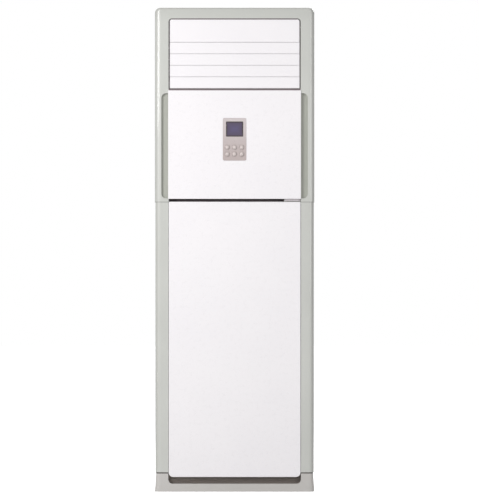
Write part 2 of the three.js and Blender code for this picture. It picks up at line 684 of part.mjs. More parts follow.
// Moulded ring: front skin and outer walls, open at the back, with scooped finger grips.
function upperFrame() {
  const half = WIDTH / 2;
  const below = SPLIT - 2 * FRAME_ROUND;
  const profile = (inset) => rectangle(-half + inset, half - inset, below, HEIGHT - inset, TOP_CORNER - inset, 0);
  const body = roundedFront(profile(0), FRAME_FACE, FRAME_REAR, FRAME_ROUND);
  const hollow = roundedFront(
    profile(FRAME_WALL),
    FRAME_FACE + FRAME_WALL,
    FRAME_REAR + 1,
    FRAME_ROUND - FRAME_WALL,
  );
  const outlet = rectangle(-OPENING_HALF, OPENING_HALF, CROSS_BAR_TOP, OPENING_TOP, OPENING_CORNER, 0);
  const bay = rectangle(-OPENING_HALF, OPENING_HALF, below, MIDDLE_TOP);
  const through = [outlet, bay].map((shape) => alongY(shape, FRAME_FACE - 1, FRAME_REAR + 1));
  const underside = block(-WIDTH, WIDTH, -DEPTH, DEPTH, below - 1, SPLIT);
  const barRib = block(
    -OPENING_HALF - 1,
    OPENING_HALF + 1,
    FRAME_FACE + 1,
    FRAME_FACE + 3 * FRAME_WALL,
    MIDDLE_TOP,
    MIDDLE_TOP + FRAME_WALL,
  );

  const scoopBottom = MIDDLE_BOTTOM + SCOOP_RISE;
  const scoop = (grow) =>
    rectangle(
      OPENING_HALF - 2 * TOP_CORNER,
      half - SCOOP_SIDE + grow,
      scoopBottom - grow,
      scoopBottom + SCOOP_LENGTH + grow,
      SCOOP_CORNER + grow,
    );
  const floor = FRAME_FACE + SCOOP_DEPTH;
  const pocket = alongY(scoop(FRAME_WALL), FRAME_FACE + 1, floor + FRAME_WALL);
  const dip = alongY(scoop(0), FRAME_FACE - 1, floor);
  const undercut = block(
    OPENING_HALF - SCOOP_UNDERCUT,
    OPENING_HALF + 1,
    floor,
    floor + FRAME_WALL,
    scoopBottom,
    scoopBottom + SCOOP_LENGTH,
  );
  const skin = cut(body, hollow, underside);
  const dished = cut(join(skin, bothSides(pocket)), bothSides(dip), ...through);
  return join(dished, bothSides(undercut), barRib);
}

// Two moulded stiles, joined behind the lower panel by a top rail with the panel's hinge pins
// and a bottom rail with its stops.
function lowerFrame() {
  const top = SPLIT - GAP;
  const railRear = RAIL_Y + RAIL_DEPTH;
  const round = (radius) =>
    arcPoints(CABINET_HALF - FRAME_ROUND, FRAME_FACE + FRAME_ROUND, radius, -90, 0, 5);
  const stile = outline([
    [LOWER_OPENING_HALF, FRAME_FACE],
    ...round(FRAME_ROUND),
    [CABINET_HALF, FRAME_REAR],
    [CABINET_HALF - FRAME_WALL, FRAME_REAR],
    ...round(FRAME_ROUND - FRAME_WALL).reverse(),
    [LOWER_OPENING_HALF + FRAME_WALL, FRAME_FACE + FRAME_WALL],
    [LOWER_OPENING_HALF + FRAME_WALL, railRear],
    [LOWER_OPENING_HALF, railRear],
  ]);
  const foot = outline([
    [LOWER_OPENING_HALF, FRAME_FACE],
    ...round(FRAME_ROUND),
    [CABINET_HALF, railRear],
    [LOWER_OPENING_HALF, railRear],
  ]);
  const side = join(
    alongZ(stile, PLINTH_HEIGHT, top),
    alongZ(foot, PLINTH_HEIGHT, PLINTH_HEIGHT + FRAME_WALL),
  );
  const reach = LOWER_OPENING_HALF + 1;
  const topRail = block(-reach, reach, RAIL_Y, railRear, top - RAIL_HEIGHT, top - 2);
  const bottomRail = block(-reach, reach, RAIL_Y, railRear, PLINTH_HEIGHT, PLINTH_HEIGHT + RAIL_HEIGHT);

  const lugTip = HINGE_PIN + 0.9;
  const lug = outline([
    ...arcPoints(HINGE_Y, HINGE_Z, lugTip, 90, 270, 4),
    [RAIL_Y + 1, top - RAIL_HEIGHT + 1],
    [RAIL_Y + 1, HINGE_Z + lugTip],
  ]);
  const pinHalf = HINGE_LUG / 2 + PIVOT_CLEARANCE + HOOK_THICKNESS + 1;
  const hinge = join(
    alongX(lug, HINGE_SPREAD - HINGE_LUG / 2, HINGE_SPREAD + HINGE_LUG / 2),
    alongX(circle(HINGE_Y, HINGE_Z, HINGE_PIN), HINGE_SPREAD - pinHalf, HINGE_SPREAD + pinHalf),
  );
  const stop = block(
    HINGE_SPREAD - FLANGE,
    HINGE_SPREAD + FLANGE,
    LOWER_FACE + LOWER_PANEL_DEPTH + GAP,
    RAIL_Y + 1,
    PLINTH_HEIGHT + FRAME_WALL,
    PLINTH_HEIGHT + RAIL_HEIGHT,
  );
  const receiverCarrier = block(
    RECEIVER_LEFT - 1,
    LOWER_OPENING_HALF + 1,
    RECEIVER_REAR + GAP,
    RAIL_Y + 1,
    top - RAIL_HEIGHT,
    RECEIVER_BOTTOM + RECEIVER_HEIGHT,
  );
  return join(bothSides(side), topRail, bottomRail, bothSides(hinge), bothSides(stop), receiverCarrier);
}

// ---------------------------------------------------------------- front panels

function middlePanel() {
  const half = OPENING_HALF + MIDDLE_PANEL_LAP;
  const plate = roundedFront(
    rectangle(-half, half, MIDDLE_BOTTOM, MIDDLE_TOP),
    MIDDLE_FACE,
    FRAME_FACE - GAP,
    PANEL_EDGE_ROUND,
    2,
  );
  const rimHalf = OPENING_HALF - 1;
  const rim = (inset) =>
    rectangle(-rimHalf + inset, rimHalf - inset, MIDDLE_BOTTOM + 2 + inset, MIDDLE_TOP - 2 - inset);
  const rear = MIDDLE_FACE + MIDDLE_PANEL_DEPTH;
  const cutout = rectangle(
    -BEZEL_WIDTH / 2 - GAP,
    BEZEL_WIDTH / 2 + GAP,
    BEZEL_BOTTOM - GAP,
    BEZEL_BOTTOM + BEZEL_HEIGHT + GAP,
    BEZEL_CORNER + GAP,
  );
  return cut(
    join(plate, alongY(rim(0), MIDDLE_FACE + PANEL_SKIN, rear)),
    alongY(rim(PANEL_SKIN), MIDDLE_FACE + PANEL_SKIN, rear + 1),
    alongY(cutout, MIDDLE_FACE - 1, rear),
  );
}

// Hung on four hooks that drop over the lower frame's hinge pins.
function lowerPanel() {
  const half = LOWER_OPENING_HALF - LOWER_PANEL_GAP;
  const skinRear = LOWER_FACE + PANEL_SKIN;
  const rear = LOWER_FACE + LOWER_PANEL_DEPTH;
  const face = (inset) =>
    rectangle(
      -half + inset,
      half - inset,
      LOWER_PANEL_BOTTOM + inset,
      LOWER_PANEL_TOP - inset,
      0,
      LOWER_PANEL_CORNER - inset,
    );
  const rim = SHEET;
  const tray = cut(
    roundedFront(face(0), LOWER_FACE, rear, PANEL_EDGE_ROUND, 2),
    alongY(face(rim), skinRear, rear + 1),
  );
  const ribX = half / 2;
  const upright = block(ribX - rim / 2, ribX + rim / 2, skinRear - 1, rear, LOWER_PANEL_BOTTOM + 1, LOWER_PANEL_TOP - 1);
  const crossRibs = [];
  for (let i = 1; i <= PANEL_CROSS_RIBS; i += 1) {
    const z = LOWER_PANEL_BOTTOM + ((LOWER_PANEL_TOP - LOWER_PANEL_BOTTOM) * i) / (PANEL_CROSS_RIBS + 1);
    crossRibs.push(block(-half + 1, half - 1, skinRear - 1, rear, z - rim / 2, z + rim / 2));
  }
  const bore = HINGE_PIN + PIVOT_CLEARANCE;
  const hook = outline([
    [skinRear - 1, HINGE_Z + HOOK_RADIUS],
    [skinRear - 1, HINGE_Z - 2 * HOOK_RADIUS],
    [HINGE_Y - bore, HINGE_Z - 2 * HOOK_RADIUS],
    ...arcPoints(HINGE_Y, HINGE_Z, bore + 0.1, 180, -50, 6),
    ...arcPoints(HINGE_Y, HINGE_Z, HOOK_RADIUS, -50, 90, 3),
  ]);
  const inner = HINGE_LUG / 2 + PIVOT_CLEARANCE;
  const hooks = [-1, 1].map((side) => {
    const middle = HINGE_SPREAD + side * (inner + HOOK_THICKNESS / 2);
    return alongX(hook, middle - HOOK_THICKNESS / 2, middle + HOOK_THICKNESS / 2);
  });
  return join(tray, bothSides(upright), ...crossRibs, bothSides(join(...hooks)));
}

function receiverWindow() {
  const window = rectangle(
    RECEIVER_LEFT,
    RECEIVER_LEFT + RECEIVER_WIDTH,
    RECEIVER_BOTTOM,
    RECEIVER_BOTTOM + RECEIVER_HEIGHT,
    1,
  );
  return roundedFront(window, RECEIVER_FACE, RECEIVER_REAR, 0.8, 1);
}

// ---------------------------------------------------------------- control panel

function buttonPlaces() {
  const places = [];
  for (let row = BUTTON_ROWS - 1; row >= 0; row -= 1) {
    for (let column = 0; column < BUTTON_COLUMNS; column += 1) {
      const x = (column - (BUTTON_COLUMNS - 1) / 2) * BUTTON_PITCH_X;
      places.push([x, BEZEL_BOTTOM + LOWER_BUTTONS_ABOVE_BEZEL + row * BUTTON_PITCH_Z]);
    }
  }
  return places;
}

function windowShape(inset) {
  return rectangle(
    -WINDOW_WIDTH / 2 + inset,
    WINDOW_WIDTH / 2 - inset,
    WINDOW_BOTTOM + inset,
    WINDOW_BOTTOM + WINDOW_HEIGHT - inset,
    2,
  );
}

function controlBezel() {
  const face = (inset) =>
    rectangle(
      -BEZEL_WIDTH / 2 + inset,
      BEZEL_WIDTH / 2 - inset,
      BEZEL_BOTTOM + inset,
      BEZEL_BOTTOM + BEZEL_HEIGHT - inset,
      BEZEL_CORNER - inset,
    );
  const plate = roundedFront(face(0), BEZEL_FACE, BEZEL_REAR, BEZEL_PROUD / 2, 1);
  const flange = alongY(face(-3), MIDDLE_FACE + PANEL_SKIN + GAP, BEZEL_REAR);
  const pocket = alongY(face(PANEL_SKIN), BEZEL_INNER, BEZEL_REAR + 1);
  const window = alongY(windowShape(0), BEZEL_FACE - 1, BEZEL_REAR);
  const holes = buttonPlaces().map(([x, z]) =>
    alongY(circle(x, z, BUTTON_RADIUS + GAP + 0.1), BEZEL_FACE - 1, BEZEL_REAR));
  const lampZ = (WINDOW_BOTTOM + BEZEL_BOTTOM + LOWER_BUTTONS_ABOVE_BEZEL + BUTTON_PITCH_Z) / 2 + 3;
  const lamp = alongY(circle(0, lampZ, LAMP_RADIUS, 8), BEZEL_FACE - 1, BEZEL_REAR);
  const post = (x, z) => alongY(circle(x, z, 3, 6), BEZEL_INNER - 1, BOARD_FRONT - GAP);
  const postX = BEZEL_WIDTH / 2 - 6;
  const posts = [BEZEL_BOTTOM + 7, BEZEL_BOTTOM + BEZEL_HEIGHT - 7].flatMap((z) => [
    post(-postX, z),
    post(postX, z),
  ]);
  return join(cut(join(plate, flange), pocket, window, lamp, ...holes), ...posts);
}

function lcdWindow() {
  return roundedFront(windowShape(GAP), BEZEL_FACE + 0.6, BEZEL_INNER, 0.4, 1);
}

// Circuit board with the display module and one switch behind each button.
function controlBoard() {
  const edge = 3;
  const board = block(
    -BEZEL_WIDTH / 2 + edge,
    BEZEL_WIDTH / 2 - edge,
    BOARD_FRONT,
    BOARD_FRONT + BOARD_THICKNESS,
    BEZEL_BOTTOM + edge,
    BEZEL_BOTTOM + BEZEL_HEIGHT - edge,
  );
  const display = alongY(windowShape(-1), BEZEL_INNER + GAP, BOARD_FRONT + 1);
  const switches = buttonPlaces().map(([x, z]) =>
    block(x - 3, x + 3, BUTTON_REAR + BUTTON_TRAVEL + GAP, BOARD_FRONT + 1, z - 3, z + 3));
  return join(board, display, ...switches);
}

// Domed cap with a flange behind the bezel; y = 0 is the bezel's face.
function button() {
  const seat = BEZEL_THICKNESS + GAP;
  return revolveY(
    [
      [0, -BUTTON_PROUD],
      [BUTTON_RADIUS * 0.55, -BUTTON_PROUD * 0.75],
      [BUTTON_RADIUS, 0],
      [BUTTON_RADIUS, seat],
      [BUTTON_FLANGE, seat],
      [BUTTON_FLANGE, BUTTON_DEPTH],
      [0, BUTTON_DEPTH],
    ],
    0,
    0,
    12,
  );
}

// ---------------------------------------------------------------- outlet

function fascia() {
  const half = LOUVRE_LENGTH / 2;
  const face = FRAME_FACE + LOUVRE_RECESS;
  const plate = roundedFront(
    rectangle(-half, half, FASCIA_BOTTOM + LOUVRE_EDGE_GAP / 2, ROOF_TOP, OPENING_CORNER - 4, 0),
    face,
    face + LOUVRE_THICKNESS,
    0.6,
    1,
  );
  const under = ROOF_TOP - SHEET - GAP;
  const flange = block(-half + FLANGE, half - FLANGE, face + 3, ROOF_FRONT + FLANGE, under - SHEET, under);
  return join(plate, flange);
}

// Air duct with the side cheeks that carry the louvres and the bar that carries the vanes.
function outletDuct() {
  const curve = (radius) =>
    arcPoints(DUCT_REAR - DUCT_CURVE, ROOF_TOP - DUCT_CURVE, radius, 0, 90, 6);
  const roof = strip([[DUCT_REAR, DUCT_BOTTOM], ...curve(DUCT_CURVE), [ROOF_FRONT, ROOF_TOP]], SHEET);
  const front = strip(
    [
      [FRAME_FACE + LOUVRE_RECESS + LOUVRE_THICKNESS + GAP, SILL_TOP - SHEET],
      [BACKBONE_Y, SILL_TOP - SHEET],
      [BACKBONE_Y, DUCT_BOTTOM],
    ],
    SHEET,
  );
  const cheekSeat = FRAME_FACE + FRAME_WALL + 0.5;
  const cheekFront = cheekSeat - 2;
  const inset = SHEET / 2;
  const cheek = outline([
    [cheekFront, CROSS_BAR_TOP + 3],
    [cheekSeat, CROSS_BAR_TOP + 0.5],
    [cheekSeat, SILL_TOP - inset],
    [BACKBONE_Y + inset, SILL_TOP - inset],
    [BACKBONE_Y + inset, DUCT_BOTTOM + inset],
    [DUCT_REAR - inset, DUCT_BOTTOM + inset],
    ...curve(DUCT_CURVE - inset),
    [cheekSeat, ROOF_TOP - inset],
    [cheekSeat, OPENING_TOP - OPENING_CORNER + 2],
    [cheekFront, OPENING_TOP - OPENING_CORNER],
  ]);
  for (const z of louvreHeights()) {
    cheek.holes.push(circle(LOUVRE_Y, z, PIVOT_RADIUS + PIVOT_CLEARANCE, 8));
  }
  const wall = CHEEK_INNER + CHEEK / 2;
  const base = rectangle(-INNER_HALF, INNER_HALF, BACKBONE_Y, INNER_REAR);
  base.holes.push(rectangle(-wall, wall, BACKBONE_Y + SHEET / 2, DUCT_REAR - SHEET / 2));
  const bar = block(
    -wall,
    wall,
    VANE_Y - VANE_BAR / 2,
    VANE_Y + VANE_BAR / 2,
    VANE_BAR_TOP - LINK_THICKNESS,
    VANE_BAR_TOP,
  );
  const body = join(
    alongX(roof, -wall, wall),
    alongX(front, -wall, wall),
    bothSides(alongX(cheek, CHEEK_INNER, CHEEK_OUTER)),
    alongZ(base, DUCT_BOTTOM, DUCT_BOTTOM + SHEET),
    bar,
  );
  const bores = vanePositions().map((x) =>
    alongZ(circle(x, VANE_Y, PIVOT_RADIUS + PIVOT_CLEARANCE, 6), VANE_BAR_TOP - 2 * LINK_THICKNESS, HEIGHT));
  return cut(body, ...bores);
}

function louvreHeights() {
  return Array.from({ length: LOUVRE_COUNT }, (_, i) => FASCIA_BOTTOM - (i + 0.5) * LOUVRE_PITCH);
}

function vanePositions() {
  return Array.from({ length: VANE_COUNT }, (_, i) => (i - (VANE_COUNT - 1) / 2) * VANE_PITCH);
}

// Crank arm in the (y, z) plane from a shaft at the origin back to its pin.
function crank(shaftFrom, shaftTo) {
  const inner = -CHEEK_OUTER - GAP;
  const arm = outline([
    ...arcPoints(0, 0, CRANK_HALF_WIDTH, 90, 270, 4),
    ...arcPoints(CRANK_RADIUS, 0, CRANK_HALF_WIDTH, -90, 90, 4),
  ]);
  const pin = circle(CRANK_RADIUS, 0, PIVOT_RADIUS, 8);
  return join(
    alongX(arm, inner - CRANK_THICKNESS, inner),
    alongX(pin, LINK_OUTER - GAP, inner),
    alongX(circle(0, 0, PIVOT_RADIUS, 8), shaftFrom, shaftTo),
  );
}

// Flat at the front, crowned at the back, with a pivot pin at each end and a crank at the left.
function louvre() {
  const chord = (LOUVRE_PITCH - LOUVRE_EDGE_GAP) / 2;
  const front = -LOUVRE_THICKNESS / 2;
  const edge = front + 1.5;
  const slat = new THREE.Shape();
  slat.moveTo(front, -chord);
  slat.lineTo(edge, -chord);
  slat.quadraticCurveTo(2 * -front - edge, 0, edge, chord);
  slat.lineTo(front, chord);
  const half = LOUVRE_LENGTH / 2;
  const rightPin = alongX(circle(0, 0, PIVOT_RADIUS, 8), half - 1, CHEEK_OUTER);
  return join(alongX(slat, -half, half, { curveSegments: 6 }), rightPin, crank(-CHEEK_OUTER - 1, -half + 1));
}

function louvreCrank() {
  return crank(LINK_OUTER - STEPPER_LENGTH / 2, -CHEEK_OUTER - GAP);
}

// One bar past all the louvre cranks, with a rear arm up to the motor's crank.
function louvreLink() {
  const heights = louvreHeights();
  const first = Math.max(...heights);
  const last = Math.min(...heights);
  const pinY = LOUVRE_Y + CRANK_RADIUS;
  const armPinY = MOTOR_Y + CRANK_RADIUS;
  const armZ = MOTOR_Z - LINK_DROP;
  const w = LINK_HALF_WIDTH;
  const bar = outline([
    ...arcPoints(pinY, first, w, 0, 180, 4),
    ...arcPoints(pinY, last, w, 180, 360, 4),
    [pinY + w, armZ - w],
    [armPinY + w, armZ - w],
    ...arcPoints(armPinY, MOTOR_Z, w, 0, 180, 4),
    [armPinY - w, armZ + w],
    [pinY + w, armZ + w],
  ]);
  for (const z of heights) bar.holes.push(circle(pinY, z, PIVOT_RADIUS + PIVOT_CLEARANCE, 8));
  bar.holes.push(circle(armPinY, MOTOR_Z, PIVOT_RADIUS + PIVOT_CLEARANCE, 8));
  return alongX(bar, LINK_OUTER, LINK_OUTER + LINK_THICKNESS);
}

// Stepper motor outside the left cheek, standing on two posts clear of the link.
function louvreMotor() {
  const face = LINK_OUTER - 2;
  const can = alongX(circle(MOTOR_Y, MOTOR_Z, STEPPER_RADIUS, 16), face - STEPPER_LENGTH, face);
  const postZ = MOTOR_Z + STEPPER_RADIUS + 7;
  const postYs = [MOTOR_Y - 2.5, MOTOR_Y + 15.5];
  const tab = outline([
    [MOTOR_Y - STEPPER_RADIUS + 4, MOTOR_Z],
    [MOTOR_Y + STEPPER_RADIUS - 4, MOTOR_Z],
    [postYs[1] + 4, postZ + 4],
    [postYs[0] - 4, postZ + 4],
  ]);
  const posts = postYs.map((y) => alongX(circle(y, postZ, 3, 8), face - 1, -CHEEK_OUTER - GAP));
  const bore = circle(MOTOR_Y, MOTOR_Z, PIVOT_RADIUS + PIVOT_CLEARANCE, 8);
  return cut(
    join(can, alongX(tab, face - 2, face), ...posts),
    alongX(bore, face - STEPPER_LENGTH / 2, face + 1),
  );
}

// Upright vane about the z axis; z = 0 is the vane's lower edge.
function vane(topPin) {
  const height = VANE_TOP - VANE_BOTTOM;
  const half = VANE_THICKNESS / 2;
  const blade = outline([
    [-half, -VANE_FRONT + 2],
    [0, -VANE_FRONT],
    [half, -VANE_FRONT + 2],
    [half, VANE_REAR - 8],
    [0.3, VANE_REAR],
    [-0.3, VANE_REAR],
    [-half, VANE_REAR - 8],
  ]);
  const below = VANE_BAR_TOP - LINK_THICKNESS - 1 - VANE_BOTTOM;
  const collar = VANE_BAR_TOP + GAP - VANE_BOTTOM;
  return join(
    alongZ(blade, 0, height),
    alongZ(circle(0, 0, PIVOT_RADIUS, 6), below, 4),
    alongZ(circle(0, 0, PIVOT_RADIUS + 1.5, 6), collar, 4),
    alongZ(circle(0, 0, PIVOT_RADIUS, 6), height - 4, topPin - VANE_BOTTOM),
    alongZ(circle(0, VANE_CRANK, PIVOT_RADIUS, 6), below, 4),
  );
}

function vaneLink() {
  const xs = vanePositions();
  const w = LINK_HALF_WIDTH;
  const end = Math.max(...xs) + w;
  const y = VANE_Y + VANE_CRANK;
  const bar = rectangle(-end - 1, end + 1, y - w, y + w, w);
  for (const x of xs) bar.holes.push(circle(x, y, PIVOT_RADIUS + PIVOT_CLEARANCE, 6));
  return alongZ(bar, VANE_BAR_TOP - LINK_THICKNESS, VANE_BAR_TOP);
}

function vaneMotor() {
  const foot = ROOF_TOP + GAP;
  const can = alongZ(circle(0, VANE_Y, STEPPER_RADIUS, 16), foot, foot + STEPPER_LENGTH);
  const ears = rectangle(-STEPPER_RADIUS - 8, STEPPER_RADIUS + 8, VANE_Y - 5, VANE_Y + 5, 4);
  const bore = circle(0, VANE_Y, PIVOT_RADIUS + PIVOT_CLEARANCE, 8);
  return cut(join(can, alongZ(ears, foot, foot + 2)), alongZ(bore, foot - 1, foot + STEPPER_LENGTH / 2));
}

// ---------------------------------------------------------------- fan

// Outline of the scroll seen from the front: a spiral from the tongue round to a wall that
// rises straight to the outlet.
function scrollOutline(inset, top) {
  const tongueAngle = SCROLL_SWEEP - 180;
  const steps = 17;
  const spiral = [];
  for (let i = 0; i <= steps; i += 1) {
    const along = i / steps;
    const angle = THREE.MathUtils.degToRad(tongueAngle - SCROLL_SWEEP * along);
    const radius = SCROLL_START + (SCROLL_END - SCROLL_START) * along - inset;
    spiral.push([FAN_X + radius * Math.cos(angle), FAN_HEIGHT + radius * Math.sin(angle)]);
  }
  const tongueX = FAN_X + SCROLL_START * Math.cos(THREE.MathUtils.degToRad(tongueAngle)) - inset;
  return outline([
    [tongueX, top],
    [tongueX, spiral[0][1]],
    ...spiral.slice(1),
    [FAN_X - SCROLL_END + inset, top],
  ]);
}

function scrollHousing() {
  const rear = SCROLL_FRONT + SCROLL_DEPTH;
  const top = SHELF_HEIGHT + SHEET;
  const shell = alongY(scrollOutline(0, top), SCROLL_FRONT, rear);
  const legs = [-1, 1].flatMap((side) => {
    const x = FAN_X + side * SCROLL_LEG_SPREAD;
    const z = FAN_HEIGHT - SCROLL_START / 2;
    const base = PAN_FLOOR + GAP;
    return [
      block(x - FLANGE, x + FLANGE, SCROLL_FRONT, SCROLL_FRONT + SCROLL_WALL, base, z),
      block(x - FLANGE, x + FLANGE, rear - SCROLL_WALL, rear, base, z),
      block(x - FLANGE, x + FLANGE, SCROLL_FRONT, rear, base, base + SCROLL_WALL),
    ];
  });
  const hollow = alongY(
    scrollOutline(SCROLL_WALL, top + 1),
    SCROLL_FRONT + SCROLL_WALL,
    rear - SCROLL_WALL,
  );
  const inlet = alongY(circle(FAN_X, FAN_HEIGHT, BELL_RADIUS + 2, 24), SCROLL_FRONT - 1, SCROLL_FRONT + 3);
  const back = alongY(circle(FAN_X, FAN_HEIGHT, BRACKET_RADIUS - FLANGE, 20), rear - 3, rear + 1);
  return cut(join(shell, ...legs), hollow, inlet, back);
}

// Bell mouth that leads the air into the wheel's eye.
function inletRing() {
  const seat = SCROLL_FRONT - GAP;
  const eye = WHEEL_FRONT + 6;
  const length = eye - seat;
  const outer = [
    [INLET_FLANGE, seat - SHEET],
    [INLET_FLANGE, seat],
    [BELL_RADIUS, seat],
    [INLET_RADIUS + 9, seat + length * 0.35],
    [INLET_RADIUS + 3, seat + length * 0.65],
    [INLET_RADIUS + 2, eye],
  ];
  const inner = [
    [INLET_RADIUS, eye],
    [INLET_RADIUS + 1, seat + length * 0.6],
    [INLET_RADIUS + 6.5, seat + length * 0.28],
    [BELL_RADIUS - 3, seat - SHEET],
  ];
  return revolveY([...outer, ...inner], FAN_X, FAN_HEIGHT);
}

// Forward-curved blades between a backplate with the hub and a front ring.
function fanWheel() {
  const rear = WHEEL_FRONT + WHEEL_WIDTH;
  const bore = SHAFT_RADIUS + SHAFT_CLEARANCE;
  const plate = revolveY(
    [
      [bore, rear],
      [WHEEL_RADIUS, rear],
      [WHEEL_RADIUS, rear - 3],
      [HUB_CONE, rear - 3],
      [HUB_RADIUS, HUB_FRONT + 12],
      [HUB_RADIUS, HUB_FRONT],
      [bore, HUB_FRONT],
    ],
    FAN_X,
    FAN_HEIGHT,
    BLADE_COUNT,
  );
  const ring = revolveY(
    [
      [WHEEL_RADIUS, WHEEL_FRONT],
      [WHEEL_RADIUS, WHEEL_FRONT + 6],
      [WHEEL_RADIUS - 10, WHEEL_FRONT + 6],
      [WHEEL_RADIUS - 14, WHEEL_FRONT],
    ],
    FAN_X,
    FAN_HEIGHT,
    BLADE_COUNT,
  );
  const blades = [];
  for (let i = 0; i < BLADE_COUNT; i += 1) {
    const turn = (360 * i) / BLADE_COUNT;
    const point = (share, lean) => {
      const radius = WHEEL_INNER + (WHEEL_RADIUS - 1 - WHEEL_INNER) * share;
      const angle = THREE.MathUtils.degToRad(turn + lean);
      return [FAN_X + radius * Math.cos(angle), FAN_HEIGHT + radius * Math.sin(angle)];
    };
    const curve = [point(0, 0), point(0.5, -1), point(1, -BLADE_LEAN)];
    blades.push(alongY(strip(curve, BLADE_THICKNESS), WHEEL_FRONT + 3, rear - 1));
  }
  return join(plate, ring, ...blades);
}

function fanMotor() {
  const front = SCROLL_FRONT + SCROLL_DEPTH + SHEET + 2 * GAP;
  const rear = front + MOTOR_LENGTH;
  const bell = 6;
  return revolveY(
    [
      [0, HUB_FRONT - 4],
      [SHAFT_RADIUS, HUB_FRONT - 4],
      [SHAFT_RADIUS, front],
      [MOTOR_RADIUS - bell, front],
      [MOTOR_RADIUS, front + bell],
      [MOTOR_RADIUS, rear - bell],
      [MOTOR_RADIUS - 2 * bell, rear],
      [0, rear],
    ],
    FAN_X,
    FAN_HEIGHT,
  );
}

function motorBracket() {
  const front = SCROLL_FRONT + SCROLL_DEPTH + GAP;
  const disc = circle(FAN_X, FAN_HEIGHT, BRACKET_RADIUS, 20);
  disc.holes.push(circle(FAN_X, FAN_HEIGHT, SHAFT_RADIUS * 2, 12));
  const vents = 4;
  for (let i = 0; i < vents; i += 1) {
    const angle = (2 * Math.PI * (i + 0.5)) / vents;
    const reach = (MOTOR_RADIUS + BRACKET_RADIUS - FLANGE) / 2;
    const x = FAN_X + reach * Math.cos(angle);
    const z = FAN_HEIGHT + reach * Math.sin(angle);
    disc.holes.push(circle(x, z, 8, 8));
  }
  return alongY(disc, front, front + SHEET);
}

// ---------------------------------------------------------------- filter

// Plate across the cabinet with the air window and the channels that hold the filter.
function filterGuide() {
  const rear = GUIDE_FRONT + GUIDE_THICKNESS;
  const top = SHELF_HEIGHT + SHEET;
  const shoulder = PLINTH_HEIGHT + SHEET + GAP;
  const footHalf = CABINET_HALF - FLANGE - 2;
  const plate = outline([
    [-footHalf, PAN_FLOOR + GAP],
    [footHalf, PAN_FLOOR + GAP],
    [footHalf, shoulder],
    [INNER_HALF, shoulder],
    [INNER_HALF, top],
    [-INNER_HALF, top],
    [-INNER_HALF, shoulder],
    [-footHalf, shoulder],
  ]);
  const border = 16;
  const bars = 6;
  const clear = FILTER_WIDTH - 2 * border;
  const windows = Array.from({ length: bars }, (_, i) => {
    const left = -FILTER_WIDTH / 2 + border + (clear * i) / bars + 3;
    const right = left + clear / bars - 6;
    const windowTop = FILTER_BOTTOM + FILTER_HEIGHT - border;
    return block(left, right, GUIDE_FRONT - 1, rear + 1, FILTER_BOTTOM + border, windowTop);
  });
  const edge = FILTER_WIDTH / 2 + 1;
  const lipY = FILTER_FRONT - 1;
  const channel = outline([
    [edge, GUIDE_FRONT + 1],
    [edge, lipY],
    [edge - 6, lipY],
    [edge - 6, lipY - SHEET],
    [edge + SHEET, lipY - SHEET],
    [edge + SHEET, GUIDE_FRONT + 1],
  ]);
  const ledgeTop = FILTER_BOTTOM - GAP;
  const channels = alongZ(channel, ledgeTop - SHEET, FILTER_BOTTOM + FILTER_HEIGHT + FILTER_LIFT + 4);
  const ledge = block(-edge - SHEET, edge + SHEET, lipY - SHEET, GUIDE_FRONT + 1, ledgeTop - SHEET, ledgeTop);
  return join(cut(alongY(plate, GUIDE_FRONT, rear), ...windows), bothSides(channels), ledge);
}

function filter() {
  const half = FILTER_WIDTH / 2;
  const top = FILTER_BOTTOM + FILTER_HEIGHT;
  const rear = FILTER_FRONT + FILTER_THICKNESS;
  const border = 12;
  const cellX = (FILTER_WIDTH - 2 * border) / FILTER_COLUMNS;
  const cellZ = (FILTER_HEIGHT - 2 * border) / FILTER_ROWS;
  const cells = [];
  for (let column = 0; column < FILTER_COLUMNS; column += 1) {
    for (let row = 0; row < FILTER_ROWS; row += 1) {
      const x = -half + border + column * cellX + 1.5;
      const z = FILTER_BOTTOM + border + row * cellZ + 1.5;
      cells.push(block(x, x + cellX - 3, FILTER_FRONT - 1, rear + 1, z, z + cellZ - 3));
    }
  }
  const frame = alongY(rectangle(-half, half, FILTER_BOTTOM, top, 3), FILTER_FRONT, rear);
  const tab = block(-25, 25, FILTER_FRONT - 8, FILTER_FRONT + 1, top - 10, top - 7);
  return join(cut(frame, ...cells), tab);
}

// ---------------------------------------------------------------- evaporator chamber

// Shelf between the fan's chamber and the evaporator's, with the scroll's outlet coming through.
function partitionShelf() {
  const sheet = rectangle(-INNER_HALF, INNER_HALF, GUIDE_FRONT + GUIDE_THICKNESS + GAP, INNER_REAR);
  const tongueX = FAN_X + SCROLL_START * Math.cos(THREE.MathUtils.degToRad(SCROLL_SWEEP - 180));
  sheet.holes.push(
    rectangle(
      FAN_X - SCROLL_END - GAP,
      tongueX + GAP,
      SCROLL_FRONT - GAP,
      SCROLL_FRONT + SCROLL_DEPTH + GAP,
    ),
  );
  sheet.holes.push(circle(PIPE_HOLE_X, COIL_FOOT_Y, SPOUT_RADIUS + PASSAGE));
  sheet.holes.push(circle(GAS_X, GAS_Y, GAS_PIPE_RADIUS + PASSAGE));
  sheet.holes.push(circle(LIQUID_X, LIQUID_Y, LIQUID_PIPE_RADIUS + PASSAGE));
  return alongZ(sheet, SHELF_HEIGHT, SHELF_HEIGHT + SHEET);
}

// Folded plate that closes the evaporator's chamber towards the front panels.
function chamberFront() {
  const fold = strip(
    [
      [BACKBONE_Y, DUCT_BOTTOM - GAP],
      [BACKBONE_Y, CHAMBER_STEP_HEIGHT],
      [CHAMBER_PLATE_Y, CHAMBER_STEP_HEIGHT],
      [CHAMBER_PLATE_Y, SHELF_HEIGHT + SHEET + GAP],
    ],
    SHEET,
  );
  return alongX(fold, -FRAME_INNER_HALF, FRAME_INNER_HALF);
}

